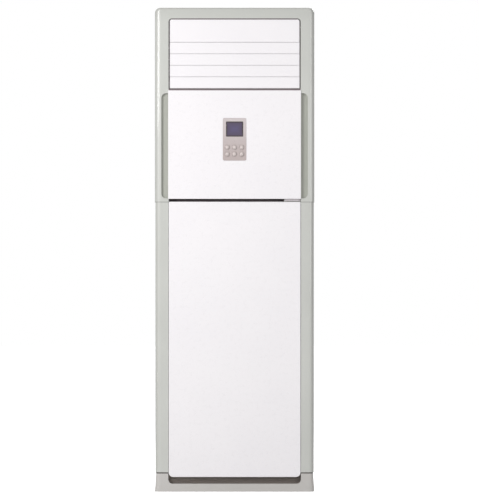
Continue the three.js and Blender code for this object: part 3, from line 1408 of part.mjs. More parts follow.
// Places a piece drawn along its own height onto the coil's slant.
function slanted(manifold) {
  return manifold.rotate([THREE.MathUtils.radToDeg(TILT), 0, 0]).translate([0, COIL_FOOT_Y, COIL_FOOT_Z]);
}

function evaporator() {
  const half = COIL_WIDTH / 2;
  const pitch = COIL_WIDTH / FIN_COUNT;
  const rear = COIL_THICKNESS / 2;
  const comb = [[half, rear], [-half, rear]];
  for (let i = 0; i < FIN_COUNT; i += 1) {
    const x = -half + i * pitch;
    comb.push([x, -rear], [x + pitch * 0.45, -rear]);
    comb.push([x + pitch * 0.45, -rear + FIN_GROOVE], [x + pitch, -rear + FIN_GROOVE]);
  }
  return slanted(alongZ(outline(comb), 0, COIL_LENGTH));
}

// End plate with the return bends of the tubes and the tabs that fix it to the side panel.
function evaporatorEnd() {
  const inner = COIL_WIDTH / 2 + GAP;
  const outer = inner + SHEET;
  const half = COIL_THICKNESS / 2;
  const plate = block(inner, outer, -half, half, 0, COIL_LENGTH);
  const bends = Array.from({ length: BEND_COUNT }, (_, i) => {
    const z = BEND_PITCH * (i + 1);
    const curve = arcPoints(0, z, BEND_RADIUS, -90, 90, 4).map(([reach, height]) => [outer - 1 + reach, 0, height]);
    return tube(curve, TUBE_RADIUS, 0, 4, 6);
  });
  const tabs = [COIL_TAB_LOW, COIL_LENGTH - COIL_TAB_HIGH].map((z) =>
    block(inner, INNER_HALF, -half + 5, half - 5, z, z + SHEET));
  const inside = block(0, inner, -COIL_THICKNESS, COIL_THICKNESS, -1, COIL_LENGTH + 1);
  return slanted(cut(join(plate, ...bends, ...tabs), inside));
}

function drainPan() {
  const half = DRAIN_PAN_WIDTH / 2;
  const front = INNER_REAR - DRAIN_PAN_DEPTH;
  const bottom = SHELF_HEIGHT + SHEET + GAP;
  const tray = block(-half, half, front, INNER_REAR, bottom, bottom + DRAIN_PAN_HEIGHT);
  const hollow = block(
    -half + SHEET,
    half - SHEET,
    front + SHEET,
    INNER_REAR - SHEET,
    bottom + SHEET,
    bottom + 2 * DRAIN_PAN_HEIGHT,
  );
  const spout = (radius, top) =>
    alongZ(circle(PIPE_HOLE_X, COIL_FOOT_Y, radius), bottom - SPOUT_LENGTH, top);
  return cut(join(cut(tray, hollow), spout(SPOUT_RADIUS, bottom + 1)), spout(SPOUT_BORE, HEIGHT));
}

function drainHose() {
  const top = SHELF_HEIGHT - GAP;
  const exit = PIPE_HOLE_Z - PIPE_HOLE_RADIUS / 2;
  return tube(
    [
      [PIPE_HOLE_X, COIL_FOOT_Y, top],
      [PIPE_HOLE_X, COIL_FOOT_Y, (top + exit) / 2],
      [PIPE_HOLE_X, COIL_FOOT_Y, exit + 60],
      [PIPE_HOLE_X, COIL_FOOT_Y + 8, exit + 22],
      [PIPE_HOLE_X, COIL_FOOT_Y + 26, exit + 4],
      [PIPE_HOLE_X, REAR - 4, exit],
    ],
    HOSE_RADIUS,
    HOSE_BORE,
    8,
  );
}

// Refrigerant pipe from the coil's right end down through the shelf to a capped flare fitting.
function refrigerantPipe(start, passX, passY, endX, radius) {
  const fitting = PIPE_HOLE_Z + PIPE_HOLE_RADIUS + 10;
  const [x, y, z] = start;
  const line = tube(
    [
      start,
      [(x + passX) / 2, y, z],
      [passX, y + 0.1 * (passY - y), z - PIPE_RUN / 8],
      [passX, (y + passY) / 2, z - PIPE_RUN / 2],
      [passX, passY, z - PIPE_RUN],
      [passX, passY, SHELF_HEIGHT + PIPE_STRAIGHT],
      [passX, passY, SHELF_HEIGHT - PIPE_STRAIGHT / 3],
      [passX, passY, SHELF_HEIGHT - PIPE_STRAIGHT],
      [endX, FITTING_Y, SHELF_HEIGHT - 3 * PIPE_STRAIGHT],
      [endX, FITTING_Y, fitting],
    ],
    radius,
    0,
    24,
    7,
  );
  const nut = alongZ(
    circle(endX, FITTING_Y, radius * 1.7, 6),
    fitting - FITTING_LENGTH,
    fitting + FITTING_LENGTH / 4,
  );
  return join(line, nut);
}

function gasPipe() {
  const start = coilEnd(COIL_LENGTH - BEND_PITCH / 4);
  return refrigerantPipe(start, GAS_X, GAS_Y, GAS_X - GAS_SHIFT, GAS_PIPE_RADIUS);
}

function liquidPipe() {
  const start = coilEnd(BEND_PITCH * (BEND_COUNT / 2 + 1));
  return refrigerantPipe(start, LIQUID_X, LIQUID_Y, LIQUID_X - LIQUID_SHIFT, LIQUID_PIPE_RADIUS);
}

// Point on the outside of the coil's right end plate, at a distance along the coil.
function coilEnd(along) {
  return [
    COIL_WIDTH / 2 + SHEET + 2 * GAP,
    COIL_FOOT_Y - along * Math.sin(TILT),
    COIL_FOOT_Z + along * Math.cos(TILT),
  ];
}

// ---------------------------------------------------------------- electrics and grommets

function boxFace(grow) {
  const half = BOX_WIDTH / 2 + grow;
  return rectangle(-half, half, BOX_BOTTOM - grow, BOX_BOTTOM + BOX_HEIGHT + grow, 6 + grow);
}

function electricalBox() {
  const rear = CHAMBER_PLATE_Y - GAP;
  const front = rear - BOX_DEPTH;
  return cut(alongY(boxFace(0), front, rear), alongY(boxFace(-SHEET), front - 1, rear - SHEET));
}

// Lid that folds over the box's edge.
function electricalBoxCover() {
  const seat = CHAMBER_PLATE_Y - GAP - BOX_DEPTH - GAP;
  return cut(
    roundedFront(boxFace(SHEET), seat - SHEET, seat + FLANGE, 1.2, 1),
    alongY(boxFace(GAP), seat, seat + FLANGE + 1),
  );
}

function pipeGrommet() {
  const outer = PIPE_HOLE_RADIUS - 2 * GAP;
  const inner = PIPE_HOLE_RADIUS - GROMMET_WALL;
  return revolveY(
    [
      [outer, REAR],
      [inner, REAR],
      [inner, REAR_INNER - GAP - SHEET],
      [PIPE_HOLE_RADIUS + 4, REAR_INNER - GAP - SHEET],
      [PIPE_HOLE_RADIUS + 4, REAR_INNER - GAP],
      [outer, REAR_INNER - GAP],
    ],
    PIPE_HOLE_X,
    PIPE_HOLE_Z,
    20,
  );
}

function cableGland() {
  const outer = CABLE_RADIUS - 2 * GAP;
  return revolveY(
    [
      [outer, REAR],
      [CABLE_BORE, REAR],
      [CABLE_BORE, REAR_INNER - FLANGE],
      [outer - 2, REAR_INNER - FLANGE],
      [outer, REAR_INNER - GAP - 3],
      [CABLE_RADIUS + 4, REAR_INNER - GAP - 3],
      [CABLE_RADIUS + 4, REAR_INNER - GAP],
      [outer, REAR_INNER - GAP],
    ],
    CABLE_X,
    PIPE_HOLE_Z,
    12,
  );
}

// ---------------------------------------------------------------- assembly

place('plinth', plinth(), plinthGrey);
place('base_pan', basePan(), zincSteel);
place('side_panel_right', sidePanel(), paintedSteel);
place('side_panel_left', mirrored(sidePanel()), paintedSteel);
place('rear_panel', rearPanel(), paintedSteel);
place('top_cover', topCover(), paintedSteel);
place('upper_frame', upperFrame(), frameGrey);
place('lower_frame', lowerFrame(), frameGrey);

place('middle_panel', middlePanel(), panelWhite);
place('lower_panel', lowerPanel(), panelWhite);
place('receiver_window', receiverWindow(), receiverGrey);

place('control_bezel', controlBezel(), bezelGrey);
place('lcd_window', lcdWindow(), windowDark);
place('control_board', controlBoard(), boardGreen);
buttonPlaces().forEach(([x, z], i) => {
  place(`button_${i + 1}`, button(), buttonGrey, [x, BEZEL_FACE, z]);
});

place('outlet_fascia', fascia(), louvreWhite);
place('outlet_duct', outletDuct(), ductWhite);
louvreHeights().forEach((z, i) => {
  place(`louvre_${i + 1}`, louvre(), louvreWhite, [0, LOUVRE_Y, z]);
});
place('louvre_crank', louvreCrank(), mechanismGrey, [0, MOTOR_Y, MOTOR_Z]);
place('louvre_link', louvreLink(), mechanismGrey);
place('louvre_motor', louvreMotor(), stepperSteel);
vanePositions().forEach((x, i) => {
  const driven = i === (VANE_COUNT - 1) / 2;
  const topPin = driven ? ROOF_TOP + STEPPER_LENGTH / 2 - 1 : ROOF_TOP;
  place(`vane_${i + 1}`, vane(topPin), louvreWhite, [x, VANE_Y, VANE_BOTTOM]);
});
place('vane_link', vaneLink(), mechanismGrey);
place('vane_motor', vaneMotor(), stepperSteel);

place('scroll_housing', scrollHousing(), zincSteel);
place('inlet_ring', inletRing(), zincSteel);
place('fan_wheel', fanWheel(), fanPlastic);
place('fan_motor', fanMotor(), motorBlack);
place('motor_bracket', motorBracket(), zincSteel);
place('filter_guide', filterGuide(), ductWhite);
place('filter', filter(), filterBlue);

place('partition_shelf', partitionShelf(), zincSteel);
place('chamber_front', chamberFront(), zincSteel);
place('evaporator', evaporator(), finAluminium);
place('evaporator_end_right', evaporatorEnd(), copper);
place('evaporator_end_left', mirrored(evaporatorEnd()), copper);
place('drain_pan', drainPan(), ductWhite);
place('drain_hose', drainHose(), hoseGrey);
place('gas_pipe', gasPipe(), copper);
place('liquid_pipe', liquidPipe(), copper);
place('electrical_box', electricalBox(), zincSteel);
place('electrical_box_cover', electricalBoxCover(), zincSteel);
place('pipe_grommet', pipeGrommet(), rubberBlack);
place('cable_gland', cableGland(), rubberBlack);

export default unit;
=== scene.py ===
"""Looks of a floor standing air conditioner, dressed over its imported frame.

Metres, +Z up, the front faces -Y and the origin lies on the floor at the middle of the footprint.
"""

from __future__ import annotations

import json
import logging
import math
from contextlib import contextmanager
from dataclasses import dataclass, field
from enum import Enum
from itertools import product
from typing import Callable, Iterable, Iterator, Mapping, Sequence

import bpy
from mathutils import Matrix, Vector

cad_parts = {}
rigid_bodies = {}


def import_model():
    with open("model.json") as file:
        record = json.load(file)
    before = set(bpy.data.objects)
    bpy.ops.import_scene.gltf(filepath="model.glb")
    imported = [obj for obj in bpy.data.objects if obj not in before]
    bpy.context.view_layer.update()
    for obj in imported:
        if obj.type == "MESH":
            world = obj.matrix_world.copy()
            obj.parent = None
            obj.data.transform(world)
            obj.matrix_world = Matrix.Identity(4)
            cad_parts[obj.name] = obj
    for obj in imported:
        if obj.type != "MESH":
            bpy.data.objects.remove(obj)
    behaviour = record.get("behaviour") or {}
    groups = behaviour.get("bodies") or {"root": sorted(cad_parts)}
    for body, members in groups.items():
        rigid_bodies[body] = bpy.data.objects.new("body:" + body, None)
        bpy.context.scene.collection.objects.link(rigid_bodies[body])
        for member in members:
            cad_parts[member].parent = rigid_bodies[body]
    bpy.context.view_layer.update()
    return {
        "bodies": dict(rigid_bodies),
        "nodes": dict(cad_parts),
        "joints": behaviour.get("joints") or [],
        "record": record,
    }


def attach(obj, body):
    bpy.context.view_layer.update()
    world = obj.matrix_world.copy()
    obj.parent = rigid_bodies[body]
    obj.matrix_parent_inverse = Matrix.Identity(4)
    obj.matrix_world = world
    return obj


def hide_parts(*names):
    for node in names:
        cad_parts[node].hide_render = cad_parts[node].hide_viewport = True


LOG = logging.getLogger("air_conditioner")
MM = 0.001
Object = bpy.types.Object
Material = bpy.types.Material
Node = bpy.types.Node
NodeTree = bpy.types.NodeTree
Socket = bpy.types.NodeSocket
Sockets = Mapping[str, Socket]
Values = Mapping[str | int, object]
Point = tuple[float, float, float]
Steps = Sequence[tuple[float, float]]
Effect = Callable[["NodeBench", Sockets], Socket]
COLOUR = "NodeSocketColor"
VALUE = "NodeSocketFloat"
COLOURED = ("Colour", "Shade", "Rubbed", "Lay")
WHITE = (1.0, 1.0, 1.0, 1.0)
# A face looks a certain way where its normal's share along that way is more than this.
FACING = 0.99
# In a node's twin: points closer than this, in metres, are joined; faces that meet in a flatter
# angle are one face; sharper edges are rounded; and, in degrees, flatter edges are shaded smooth.
WELD = 1e-5
FLAT_BELOW = math.radians(0.4)
ROUNDED_ABOVE = math.radians(40)
SMOOTH_BELOW = 38.0
FORWARD = Vector((0, -1, 0))


class Body(str, Enum):
    """Bodies of the frame that new pieces ride on."""

    CABINET = "cabinet"
    LOWER_PANEL = "lower_panel"
    FILTER = "filter"


class Side(Enum):
    """The two sides of the cabinet, seen from the front."""

    LEFT = -1
    RIGHT = 1


class Lay(Enum):
    """Axis along which the lines of drawn metal run."""

    ALONG_X = (0.02, 1.0, 1.0)
    ALONG_Z = (1.0, 1.0, 0.02)


# ---------------------------------------------------------------- modelling helpers


def linear(colour: str) -> tuple[float, float, float, float]:
    """Turns a written colour into the linear one that a shader takes.

    Args:
        colour: Six hexadecimal digits, red first.

    Returns:
        Linear red, green, blue and an alpha of 1.
    """
    parts = [int(colour[i : i + 2], 16) / 255 for i in (0, 2, 4)]
    channels = [p / 12.92 if p <= 0.04045 else ((p + 0.055) / 1.055) ** 2.4 for p in parts]
    return (*channels, 1.0)


def pick(piece: Object) -> None:
    """Makes a piece the only selected one, and the active one."""
    bpy.ops.object.select_all(action="DESELECT")
    piece.select_set(True)
    bpy.context.view_layer.objects.active = piece


def freeze(piece: Object, name: str) -> None:
    """Puts a piece's place, turn and scale into its mesh and names it."""
    pick(piece)
    bpy.ops.object.transform_apply(location=True, rotation=True, scale=True)
    piece.name = name
    piece.data.name = name


@contextmanager
def editing(piece: Object) -> Iterator[None]:
    """Opens a piece in edit mode, with everything chosen, and leaves it again.

    Args:
        piece: The mesh piece to edit.

    Yields:
        Nothing; the piece is in edit mode meanwhile.
    """
    pick(piece)
    bpy.ops.object.mode_set(mode="EDIT")
    bpy.ops.mesh.select_mode(type="FACE")
    bpy.ops.mesh.select_all(action="SELECT")
    try:
        yield
    finally:
        bpy.ops.object.mode_set(mode="OBJECT")


def choose_faces(piece: Object, wanted: Callable[[bpy.types.MeshPolygon], bool]) -> None:
    """Selects the faces that pass a test, and no others, from within edit mode.

    Args:
        piece: The piece in edit mode.
        wanted: Test of one face by its centre or normal.
    """
    bpy.ops.mesh.select_all(action="DESELECT")
    bpy.ops.object.mode_set(mode="OBJECT")
    for face in piece.data.polygons:
        face.select = wanted(face)
    bpy.ops.object.mode_set(mode="EDIT")


def settle(piece: Object, name: str, smooth_below: float = 35.0) -> Object:
    """Names a finished piece, puts its place into its mesh and smooths its soft edges.

    Args:
        piece: The piece.
        name: Its name in the part.
        smooth_below: Edges flatter than this, in degrees, are shaded smooth.

    Returns:
        The same piece, at the origin, unturned and unscaled.
    """
    freeze(piece, name)
    bpy.ops.object.shade_smooth_by_angle(angle=math.radians(smooth_below))
    return piece


def finish_modifier(piece: Object, kind: str, **settings: object) -> None:
    """Adds a modifier with the given settings and applies it.

    Args:
        piece: The piece to work on.
        kind: Blender's name for the modifier's kind.
        **settings: The modifier's values.
    """
    pick(piece)
    modifier = piece.modifiers.new(kind.lower(), kind)
    for key, value in settings.items():
        setattr(modifier, key, value)
    bpy.ops.object.modifier_apply(modifier=modifier.name)


def block(name: str, low: Point, high: Point) -> Object:
    """Makes a box between two corners, as a start for a piece.

    Args:
        name: The piece's name.
        low: Lowest corner.
        high: Highest corner.

    Returns:
        The box, selected.
    """
    bpy.ops.object.select_all(action="DESELECT")
    centre = [(a + b) / 2 for a, b in zip(low, high)]
    bpy.ops.mesh.primitive_cube_add(size=1, location=centre)
    piece = bpy.context.active_object
    piece.scale = [b - a for a, b in zip(low, high)]
    freeze(piece, name)
    return piece


def disc(name: str, centre: Point, radius: float, depth: float, sides: int, facing: Vector) -> Object:
    """Makes a round blank whose axis points one way, as a start for a turned piece.

    Args:
        name: The piece's name.
        centre: Middle of the blank.
        radius: Its radius.
        depth: Its length along the axis.
        sides: Facets round it.
        facing: Direction of its axis.

    Returns:
        The blank, selected, with its turn in its mesh.
    """
    bpy.ops.object.select_all(action="DESELECT")
    turn = facing.to_track_quat("Z", "Y").to_euler()
    bpy.ops.mesh.primitive_cylinder_add(
        vertices=sides, radius=radius, depth=depth, location=centre, rotation=turn
    )
    piece = bpy.context.active_object
    freeze(piece, name)
    return piece


def crown(piece: Object, facing: Vector, steps: Steps) -> None:
    """Domes the end face of a turned blank by insets that each move along the axis.

    Args:
        piece: The blank.
        facing: Outward direction of the face.
        steps: Inset and rise of each ring, from the rim to the middle.
    """
    with editing(piece):
        choose_faces(piece, lambda face: face.normal.dot(facing) > FACING)
        for inset, rise in steps:
            bpy.ops.mesh.inset(thickness=inset, depth=0)
            bpy.ops.transform.translate(value=facing * rise)


def twin(piece: Object, name: str, shift: Point) -> Object:
    """Copies a finished piece, with its own mesh, to another place.

    Args:
        piece: The piece to copy.
        name: The copy's name.
        shift: How far the copy lies from it.

    Returns:
        The copy, with its place in its mesh.
    """
    pick(piece)
    bpy.ops.object.duplicate(linked=False)
    copy = bpy.context.active_object
    copy.location = Vector(shift)
    freeze(copy, name)
    return copy


def dress(piece: Object, material: Material) -> None:
    """Gives a piece one material in place of any it has."""
    piece.data.materials.clear()
    piece.data.materials.append(material)


# ---------------------------------------------------------------- shader helpers


class NodeBench:
    """Adds nodes to one tree and joins them by name."""

    def __init__(self, tree: NodeTree) -> None:
        """Takes the tree to work on."""
        self.tree = tree

    def put(self, target: Node, key: str | int, value: object) -> None:
        """Links a socket to a node's input, or sets the input to a value."""
        if isinstance(value, Socket):
            self.tree.links.new(value, target.inputs[key])
        else:
            target.inputs[key].default_value = value

    def node(self, kind: str, inputs: Values | None = None, **settings: object) -> Node:
        """Adds one node.

        Args:
            kind: The node's type without its ShaderNode prefix.
            inputs: Values, or sockets to link, by input name or place.
            **settings: The node's own options.

        Returns:
            The node.
        """
        made = self.tree.nodes.new(f"ShaderNode{kind}")
        for key, value in settings.items():
            setattr(made, key, value)
        for key, value in (inputs or {}).items():
            self.put(made, key, value)
        return made

    def maths(self, operation: str, *values: object, clamp: bool = False) -> Socket:
        """Adds a Math node on up to three values and returns its result."""
        made = self.node("Math", dict(enumerate(values)), operation=operation, use_clamp=clamp)
        return made.outputs[0]

    def times(self, one: object, other: object) -> Socket:
        """Returns the product of two values."""
        return self.maths("MULTIPLY", one, other)

    def vectors(self, operation: str, one: object, other: object, result: str = "Vector") -> Socket:
        """Adds a Vector Math node on two vectors and returns its result."""
        return self.node("VectorMath", {0: one, 1: other}, operation=operation).outputs[result]

    def blend(self, amount: object, under: object, over: object) -> Socket:
        """Mixes two colours and returns the result.

        Args:
            amount: Share of the upper colour.
            under: Lower colour or socket.
            over: Upper colour or socket.

        Returns:
            The mixed colour's socket.
        """
        inputs = {0: amount, 6: under, 7: over}
        return self.node("Mix", inputs, data_type="RGBA", clamp_factor=True).outputs[2]

    def steps(self, value: object, low: float, high: float) -> Socket:
        """Maps a value from low..high smoothly onto 0..1 and returns it."""
        inputs = {0: value, 1: low, 2: high, 3: 0.0, 4: 1.0}
        return self.node("MapRange", inputs, interpolation_type="SMOOTHSTEP").outputs[0]

    def between(self, value: Socket, low: float, high: float) -> Socket:
        """Maps a value from 0..1 evenly onto low..high and returns it."""
        return self.node("MapRange", {0: value, 1: 0.0, 2: 1.0, 3: low, 4: high}).outputs[0]

    def place(self) -> Socket:
        """Returns the point's place in the part's own frame."""
        return self.node("TexCoord").outputs["Object"]

    def apart(self, vector: Socket | None = None) -> Sockets:
        """Returns the X, Y and Z of a vector, or of the point's place."""
        return self.node("SeparateXYZ", {0: self.place() if vector is None else vector}).outputs

    def noise(self, scale: object, detail: float, vector: Socket | None = None) -> Socket:
        """Returns a cloudy value over a vector, or over the point's place."""
        at = self.place() if vector is None else vector
        return self.node("TexNoise", {"Vector": at, "Scale": scale, "Detail": detail}).outputs[0]

    def effect(self, fill: Effect, **inputs: object) -> Socket:
        """Places a shared effect, sets its inputs by name and returns its result."""
        tree = bpy.data.node_groups.get(fill.__name__) or shared_effect(fill, inputs)
        return self.node("Group", inputs, node_tree=tree).outputs[0]

    def shown(self) -> Socket:
        """Returns 1 where the camera looks, also through glass and in a gloss, and 0 elsewhere."""
        path = self.node("LightPath").outputs
        seen = self.maths("MAXIMUM", path["Is Camera Ray"], path["Is Transmission Ray"])
        return self.maths("MAXIMUM", seen, path["Is Glossy Ray"])


class ShaderBench(NodeBench):
    """The bench of a material's tree, with its one shader."""

    def __init__(self, material: Material, roughness: float) -> None:
        """Sets up a material's shader.

        Args:
            material: The material.
            roughness: The shader's mean roughness.
        """
        material.use_nodes = True
        super().__init__(material.node_tree)
        self.tree.nodes.clear()
        self.roughness = roughness
        self.shader = self.node("BsdfPrincipled", {"Roughness": roughness})
        out = self.node("OutputMaterial", {"Surface": self.shader.outputs[0]})
        out.is_active_output = True

    def give(self, name: str, value: object) -> None:
        """Links or sets one input of the shader."""
        self.put(self.shader, name, value)

    def paint(self, colour: Socket) -> None:
        """Links a colour to the shader."""
        self.give("Base Color", colour)

    def coat(self, weight: float, roughness: float) -> None:
        """Lays a clear coat over the shader."""
        self.give("Coat Weight", weight)
        self.give("Coat Roughness", roughness)

    def relief(self, height: Socket, strength: float, depth: float) -> None:
        """Turns a height into the shader's normal.

        Args:
            height: Height socket.
            strength: Share of the relief that is felt.
            depth: Height of a full step, in metres.
        """
        bump = self.node("Bump", {"Strength": strength, "Distance": depth, "Height": height})
        self.give("Normal", bump.outputs[0])

    def sheen_spread(self, height: Socket, spread: float) -> None:
        """Lets the roughness change a little with a height or mask."""
        self.give("Roughness", self.between(height, self.roughness - spread, self.roughness + spread))


def shared_effect(fill: Effect, inputs: Iterable[str]) -> NodeTree:
    """Makes the node group of an effect, named after the function that fills it.

    Args:
        fill: Adds the group's nodes, given its input sockets, and returns the result.
        inputs: Names of its inputs.

    Returns:
        The group.
    """
    tree = bpy.data.node_groups.new(fill.__name__, "ShaderNodeTree")
    for label in inputs:
        kind = COLOUR if label in COLOURED else VALUE
        tree.interface.new_socket(label, in_out="INPUT", socket_type=kind)
    bench = NodeBench(tree)
    result = fill(bench, tree.nodes.new("NodeGroupInput").outputs)
    kind = COLOUR if result.type == "RGBA" else VALUE
    tree.interface.new_socket("Result", in_out="OUTPUT", socket_type=kind)
    bench.put(tree.nodes.new("NodeGroupOutput"), "Result", result)
    return tree


def tone_drift(bench: NodeBench, given: Sockets) -> Socket:
    """Slow, cloudy change between a colour and its shade, as resin or paint has over a large face."""
    cloud = bench.steps(bench.noise(given["Scale"], 3.0), 0.3, 0.7)
    return bench.blend(bench.times(cloud, given["Amount"]), given["Colour"], given["Shade"])


def mould_grain(bench: NodeBench, given: Sockets) -> Socket:
    """Fine spark-eroded grain of moulded plastic: pits over a softer roll."""
    pits = bench.noise(given["Scale"], 2.0)
    roll = bench.noise(bench.times(given["Scale"], 0.21), 1.0)
    return bench.maths("MULTIPLY_ADD", roll, 0.6, pits)


def orange_peel(bench: NodeBench, given: Sockets) -> Socket:
    """Shallow dimples of baked powder coat."""
    inputs = {"Vector": bench.place(), "Scale": given["Scale"], "Smoothness": 1.0}
    cells = bench.node("TexVoronoi", inputs, feature="SMOOTH_F1")
    fine = bench.noise(given["Scale"], 1.0)
    return bench.maths("MULTIPLY_ADD", fine, 0.5, cells.outputs["Distance"])


def edge_rub(bench: NodeBench, given: Sockets) -> Socket:
    """Finds the piece's edges and shifts the colour there, as handling does."""
    rounded = bench.node("Bevel", {"Radius": given["Radius"]}, samples=4).outputs[0]
    normal = bench.node("NewGeometry").outputs["Normal"]
    same = bench.vectors("DOT_PRODUCT", rounded, normal, "Value")
    bent = bench.maths("SUBTRACT", 1.0, same, clamp=True)
    broken = bench.steps(bench.noise(60.0, 4.0), 0.3, 0.6)
    worn = bench.times(bench.steps(bent, 0.01, 0.2), broken)
    return bench.blend(bench.times(worn, given["Amount"]), given["Colour"], given["Rubbed"])


def settled_dust(bench: NodeBench, given: Sockets) -> Socket:
    """Thin dust on faces that look up."""
    up = bench.apart(bench.node("NewGeometry").outputs["Normal"])["Z"]
    drift = bench.steps(bench.noise(9.0, 5.0), 0.35, 0.7)
    lying = bench.times(bench.steps(up, 0.35, 0.95), drift)
    return bench.blend(bench.times(lying, given["Amount"]), given["Colour"], linear("b8b2a6"))


def zinc_spangle(bench: NodeBench, given: Sockets) -> Socket:
    """Crystal flowers of hot-dip galvanised sheet."""
    inputs = {"Vector": bench.place(), "Scale": 40.0, "Detail": 2.0}
    warp = bench.node("TexNoise", inputs).outputs["Color"]
    moved = bench.vectors("MULTIPLY", warp, (0.02, 0.02, 0.02))
    place = bench.vectors("ADD", bench.place(), moved)
    cells = bench.node("TexVoronoi", {"Vector": place, "Scale": given["Scale"]})
    return bench.node("SeparateColor", {0: cells.outputs["Color"]}).outputs[0]


def drawn_lines(bench: NodeBench, given: Sockets) -> Socket:
    """Long fine lines of drawn or brushed metal along one axis."""
    return bench.noise(900.0, 3.0, bench.vectors("MULTIPLY", bench.place(), given["Lay"]))


def ruled_lines(bench: NodeBench, given: Sockets) -> Socket:
    """Even ridges and gaps across the width, such as a fin pack's edges."""
    count = bench.maths("DIVIDE", bench.apart()["X"], given["Pitch"])
    return bench.times(bench.maths("PINGPONG", count, 0.5), 2.0)


# ---------------------------------------------------------------- finishes


@dataclass(frozen=True)
class Finish:
    """What every finish states: its name, colour, darker shade, sheen and relief."""

    name: str
    colour: str
    shade: str
    roughness: float = 0.4
    felt: float = 0.35
    depth: float = 0.00005
    uneven: float = 0.0

    def build(self) -> Material:
        """Makes the material with its shader and pattern.

        Returns:
            The material.
        """
        material = bpy.data.materials.new(self.name)
        self.pattern(ShaderBench(material, self.roughness))
        material.diffuse_color = linear(self.colour)
        return material

    def pattern(self, bench: ShaderBench) -> None:
        """Joins the finish's colour to its shader."""
        bench.paint(self.drift(bench))

    def drift(self, bench: ShaderBench, scale: float = 3.0, amount: float = 0.6) -> Socket:
        """Returns the colour drifting slowly to its shade."""
        tones = {"Colour": linear(self.colour), "Shade": linear(self.shade)}
        return bench.effect(tone_drift, **tones, Scale=scale, Amount=amount)

    def surface(self, bench: ShaderBench, height: Socket) -> None:
        """Gives the shader the relief and the uneven sheen of a height."""
        bench.relief(height, self.felt, self.depth)
        bench.sheen_spread(height, self.uneven)


@dataclass(frozen=True)
class WornFinish(Finish):
    """A finish that is rubbed along its edges and dusty on top."""

    rubbed: str = "ffffff"
    rub: float = 0.25
    rub_radius: float = 0.0015
    dust: float = 0.15

    def wear(self, bench: ShaderBench, colour: Socket) -> None:
        """Paints the shader with a colour, its rub and its dust."""
        rub = {"Rubbed": linear(self.rubbed), "Amount": self.rub, "Radius": self.rub_radius}
        worn = bench.effect(edge_rub, Colour=colour, **rub)
        bench.paint(bench.effect(settled_dust, Colour=worn, Amount=self.dust))


@dataclass(frozen=True)
class MouldedPlastic(WornFinish):
    """Injection-moulded plastic with eroded grain, slightly rubbed edges, dark open joints and, where set,
    painted shade that fades in by height.
    """

    uneven: float = 0.04
    grain: float = 900.0
    coat: float = 0.0
    coat_roughness: float = 0.08
    # Painted shade: between these two heights the colour fades to its shade, standing in for shade that
    # falls by height.
    painted_shade_from: float = 0.0
    painted_shade_to: float = 0.0
    seam: float = 0.0
    seam_half: float = 0.0029
    gap_shade: str = "3c3733"

    def ground(self, bench: ShaderBench) -> Socket:
        """Returns the drifting colour, with painted shade where it fades by height, dark in the open
        joint.
        """
        colour = self.drift(bench)
        height = bench.apart()["Z"]
        # Painted shade: the colour turns to its shade beyond the first of the two heights.
        if self.painted_shade_to != self.painted_shade_from:
            painted_height_shade = bench.steps(height, self.painted_shade_from, self.painted_shade_to)
            colour = bench.blend(painted_height_shade, linear(self.shade), colour)
        if self.seam:
            colour = bench.blend(self.gap(bench, height, self.seam), colour, linear(self.gap_shade))
        return colour

    def gap(self, bench: ShaderBench, height: Socket, middle: float) -> Socket:
        """Returns the mask of a narrow joint at one height."""
        off = bench.maths("ABSOLUTE", bench.maths("SUBTRACT", height, middle))
        return bench.steps(off, self.seam_half, self.seam_half * 0.7)

    def skin(self, bench: ShaderBench, grain: Socket) -> None:
        """Turns the grain into the shader's normal."""
        bench.relief(grain, self.felt, self.depth)

    def pattern(self, bench: ShaderBench) -> None:
        """Joins drift, edge rub, dust and grain to the shader."""
        self.wear(bench, self.ground(bench))
        grain = bench.effect(mould_grain, Scale=self.grain)
        self.skin(bench, grain)
        bench.sheen_spread(grain, self.uneven)
        bench.coat(self.coat, self.coat_roughness)


@dataclass(frozen=True)
class FramePlastic(MouldedPlastic):
    """Frame plastic with painted shade in the finger scoops and on the shoulders, and a dark line where
    the frames meet.
    """

    # Painted shade: the finger scoops, sunk behind the face, are greyed towards this colour.
    scoop_painted_shade: str = "a6a89e"
    scoop_painted_shade_tone: float = 0.8
    scoop_outer: float = 0.2815
    scoop_fade: float = 0.002
    face: float = -0.1875
    floor: float = -0.1785
    shoulder_from: float = 0.2815
    shoulder_full: float = 0.297
    # Painted shade: the rounded shoulders at both sides are greyed towards this colour.
    shoulder_painted_shade: str = "8e8e8a"
    shoulder_painted_shade_tone: float = 0.2
    meeting: float = 1.1072
    meeting_tone: float = 0.24

    def ground(self, bench: ShaderBench) -> Socket:
        """Returns the drifting colour with painted shade in the scoops and on the shoulders, and the
        meeting line.
        """
        at = bench.apart()
        across = bench.maths("ABSOLUTE", at["X"])
        inward = bench.maths("SUBTRACT", self.scoop_outer, across)
        sunk = bench.steps(at["Y"], self.face, self.floor)
        # Mask of the painted shade in the finger scoops.
        scoop_shaded = bench.times(bench.steps(inward, 0.0, self.scoop_fade), sunk)
        # Mask of the painted shade on the shoulders.
        turned = bench.steps(across, self.shoulder_from, self.shoulder_full)
        line = self.gap(bench, at["Z"], self.meeting)
        colour = super().ground(bench)
        for mask, tone, shade in (
            # Painted shade on the shoulders.
            (turned, self.shoulder_painted_shade_tone, self.shoulder_painted_shade),
            (line, self.meeting_tone, self.gap_shade),
            # Painted shade in the finger scoops.
            (scoop_shaded, self.scoop_painted_shade_tone, self.scoop_painted_shade),
        ):
            colour = bench.blend(bench.times(mask, tone), colour, linear(shade))
        return colour


